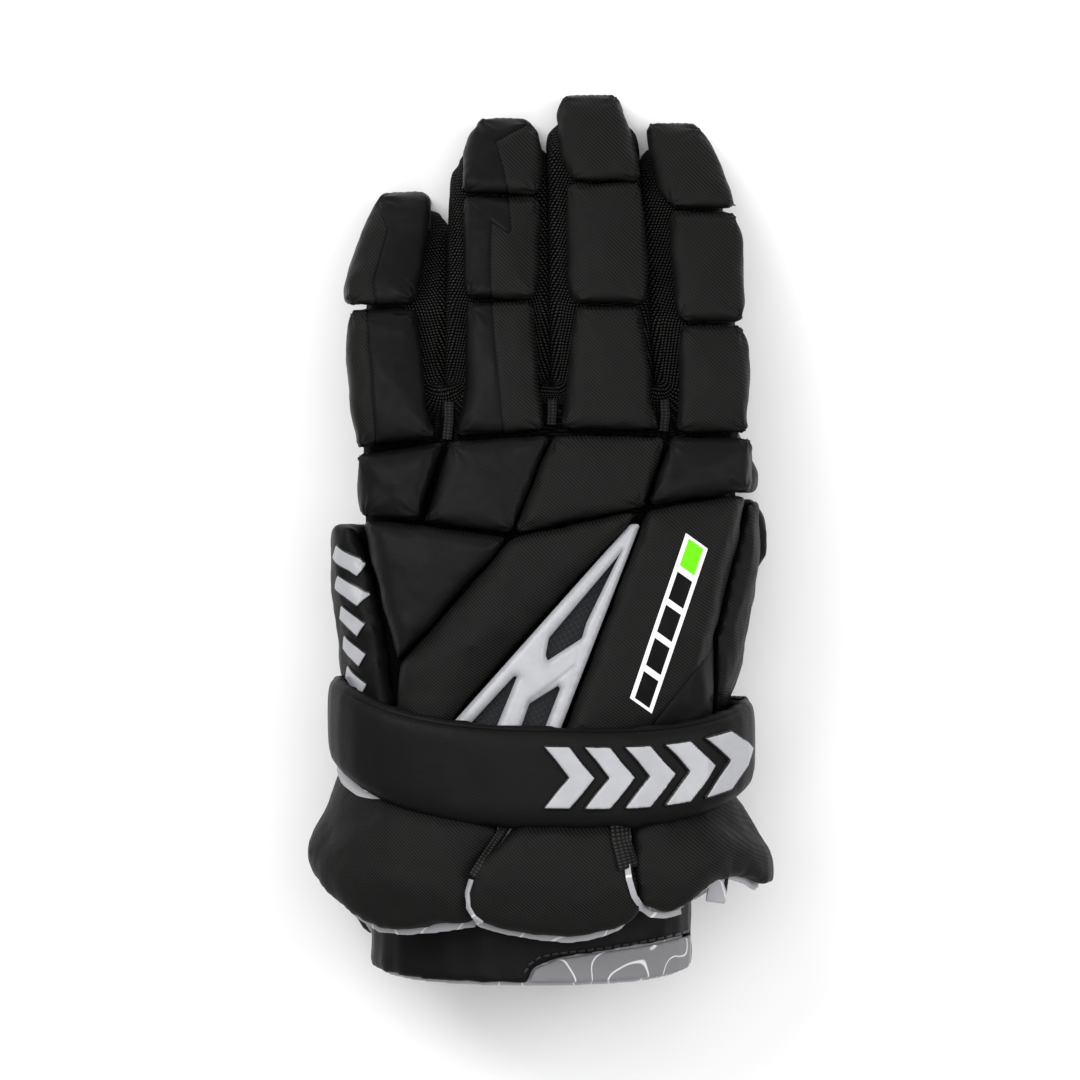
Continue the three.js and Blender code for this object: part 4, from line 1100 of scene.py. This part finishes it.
# One stitch, and how far each is from the next
STITCH = (2.4 * MM, 1.0 * MM, 0.9 * MM)
STITCH_PITCH = 3.3 * MM


def cuff_trims():
    """Tapes, pipings and tabs on the cuff's flaps and linings."""
    flaps = pieces_named("little_side_flap", "back_flap", "thumb_side_flap")
    linings = pieces_named("thumb_side_flap_lining")
    tab = tape("webbing_tab", WEBBING_TAB, flaps, wide=7.2 * MM, thick=1.4 * MM, lift=0.4 * MM, calm=30)
    finish(tab, "twill", WEBBING)
    strip = tape("ribbed_strip", RIBBED_STRIP, flaps, wide=3.2 * MM, thick=1.3 * MM, lift=0.9 * MM, calm=120)
    finish(strip, "twill", WEBBING)
    sizes = {"wide": 1.2 * MM, "thick": 0.9 * MM, "lift": 0.1 * MM, "calm": 6, "cell": 0.4}
    piping = tape("middle_flap_piping", MIDDLE_PIPING, flaps, **sizes)
    finish(piping, "grey_lining", LINING)
    sizes = {"wide": 2.2 * MM, "thick": 1.2 * MM, "lift": 0.0, "calm": 60, "cell": 0.4}
    piping = tape("side_flap_piping", SIDE_PIPING, flaps + linings, **sizes)
    finish(piping, "grey_lining", LINING)
    sizes = {"wide": 6 * MM, "thick": 1.0 * MM, "lift": 0.2 * MM, "calm": 10, "leaf": True}
    crescent = tape("cuff_lining_edge", LINING_EDGE, flaps, **sizes)
    finish(crescent, "grey_lining", LINING)
    loop = tape("lining_tab", LINING_TAB, linings, wide=7.0 * MM, thick=1.6 * MM, lift=-2.4 * MM, calm=20)
    finish(loop, "grey_lining", LINING)
    sizes = {"wide": 1.7 * MM, "thick": 2.0 * MM, "lift": -2.1 * MM, "calm": 20}
    edge = tape("lining_tab_edge", LINING_TAB_EDGE, linings, **sizes)
    finish(edge, "twill", WEBBING)


def crotch_tabs():
    """A short tab of webbing at the end of each slit between the fingers."""
    knuckles = pieces_named("little_knuckle_cushion", "ring_knuckle_cushion", "middle_knuckle_cushion")
    hand = [knit_skin] + knuckles
    for name, places in CROTCH_TABS.items():
        tab = tape(name, places, hand, wide=3.6 * MM, thick=1.2 * MM, lift=0.5 * MM, calm=20)
        finish(tab, "twill", WEBBING)


def bare_marks():
    """A bare printed bar on the back, and plain slanted bars on the side pad."""
    back = pieces_named("index_back_cushion")
    sizes = {"wide": 9.6 * MM, "thick": 0.5 * MM, "lift": 0.1 * MM, "calm": 4, "slope": 0.3}
    bar = tape("printed_bar", PRINTED_BAR, back, **sizes)
    finish(bar, "silver_moulding", NAMEPLATE)
    side = pieces_named("outer_side_cushion")
    for k in range(5):
        x = SIDE_MARK[0] + k * SIDE_MARK_STEP[0]
        y = SIDE_MARK[1] + k * SIDE_MARK_STEP[1]
        middle = np.array([[*spot(x, y), 0.0]])
        middle[:, 2] = heights_under(middle, side)
        across, along, _ = turned(middle, SIDE_LEAN)[0]
        outer = (across - SIDE_MARK_OUT[0], along + SIDE_MARK_OUT[1])
        inner = (across + SIDE_MARK_IN[0], along - SIDE_MARK_IN[1])
        places = [outer, (across, along), inner]
        name = f"side_mark_rim_{k + 1}"
        rim = tape(name, places, side, wide=6.4 * MM, thick=0.4 * MM, lift=0.1 * MM, calm=3, tilt=SIDE_LEAN)
        finish(rim, "smooth_cloth", RUBBER)
        name = f"side_mark_{k + 1}"
        sizes = {"wide": 5.2 * MM, "thick": 0.8 * MM, "lift": 0.1 * MM, "calm": 3, "cell": 0.6}
        mark = tape(name, places, side, tilt=SIDE_LEAN, **sizes)
        finish(mark, "silver_moulding", SILVER)


def stitches():
    """A row of short dark stitches on the sleeve, just above the edge of its patch."""
    sleeve_top = pieces_named("sleeve_cloth")
    row = np.array(STITCH_ROW)
    reach = run_length(row)
    bpy.ops.object.select_all(action="DESELECT")
    bpy.ops.mesh.primitive_cube_add(size=1, location=(0, 0, 0), scale=STITCH)
    one = bpy.context.object
    one.name = "sleeve_stitches"
    bpy.ops.object.transform_apply(location=True, rotation=True, scale=True)
    shape(one, "BEVEL", width=0.25 * MM, segments=2)
    whole = [one]
    base = points_of(one).copy()
    marks = np.arange(1.5 * MM, reach[-1] - MM, STITCH_PITCH)
    for k, mark in enumerate(marks):
        piece = one
        if k:
            piece = add(f"stitch_{k}", one.data.copy())
            whole.append(piece)
        here, after = np.stack([np.interp([mark, mark + MM], reach, row[:, axis]) for axis in (0, 1)], 1)
        run = (after - here) / np.hypot(*(after - here))
        points = base.copy()
        points[:, 0] = here[0] + base[:, 0] * run[0] - base[:, 1] * run[1]
        points[:, 1] = here[1] + base[:, 0] * run[1] + base[:, 1] * run[0]
        points[:, 2] = base[:, 2] + heights_under(points, sleeve_top) + 0.2 * MM
        put_points(piece, points)
    pick(*whole)
    bpy.ops.object.join()
    finish(one, "smooth_cloth", RUBBER)


cuff_trims()
crotch_tabs()
bare_marks()
stitches()


# The room: a pale floor, soft lights and a camera straight above


# Each light's place, size and power
LIGHTS = (
    ("key_light", (-1.1, 1.2, 1.7), 1.2, 32),
    ("side_light", (1.4, 0.2, 1.3), 1.0, 13),
    ("top_light", (0.1, 0.3, 2.6), 1.6, 24),
)
SKY_STRENGTH = 0.6
# A long lens a long way up, so that the glove is seen almost without perspective
EYE_PLACE = (-0.37 * MM, -0.75 * MM, 6.06)
EYE_LENS = 535.7


def room():
    bpy.ops.object.select_all(action="DESELECT")
    bpy.ops.mesh.primitive_plane_add(size=8, location=(0, 0, 0))
    floor = bpy.context.object
    floor.name = "studio_floor"
    paper = Finish("pale_floor", roughness=0.9, gloss=0.1)
    paper.color(paper.mix(paper.noise(0.5), grey(0.9), grey(0.92)))
    floor.data.materials.append(paper.material)
    for name, place, size, power in LIGHTS:
        light = bpy.data.lights.new(name, "AREA")
        light.size = size
        light.energy = power
        lamp = add(name, light)
        lamp.location = place
        lamp.rotation_euler = (-Vector(place)).to_track_quat("-Z", "Y").to_euler()
    world = bpy.data.worlds.new("studio")
    world.use_nodes = True
    sky = world.node_tree.nodes["Background"].inputs
    sky["Color"].default_value = (1, 1, 1, 1)
    sky["Strength"].default_value = SKY_STRENGTH
    bpy.context.scene.world = world
    bpy.context.scene.view_settings.view_transform = "Standard"


def camera():
    lens = bpy.data.cameras.new("camera")
    lens.sensor_width = 36
    lens.lens = EYE_LENS
    lens.clip_start = 0.1
    lens.clip_end = 50
    eye = add("camera", lens)
    eye.location = EYE_PLACE
    bpy.context.scene.camera = eye


room()
camera()
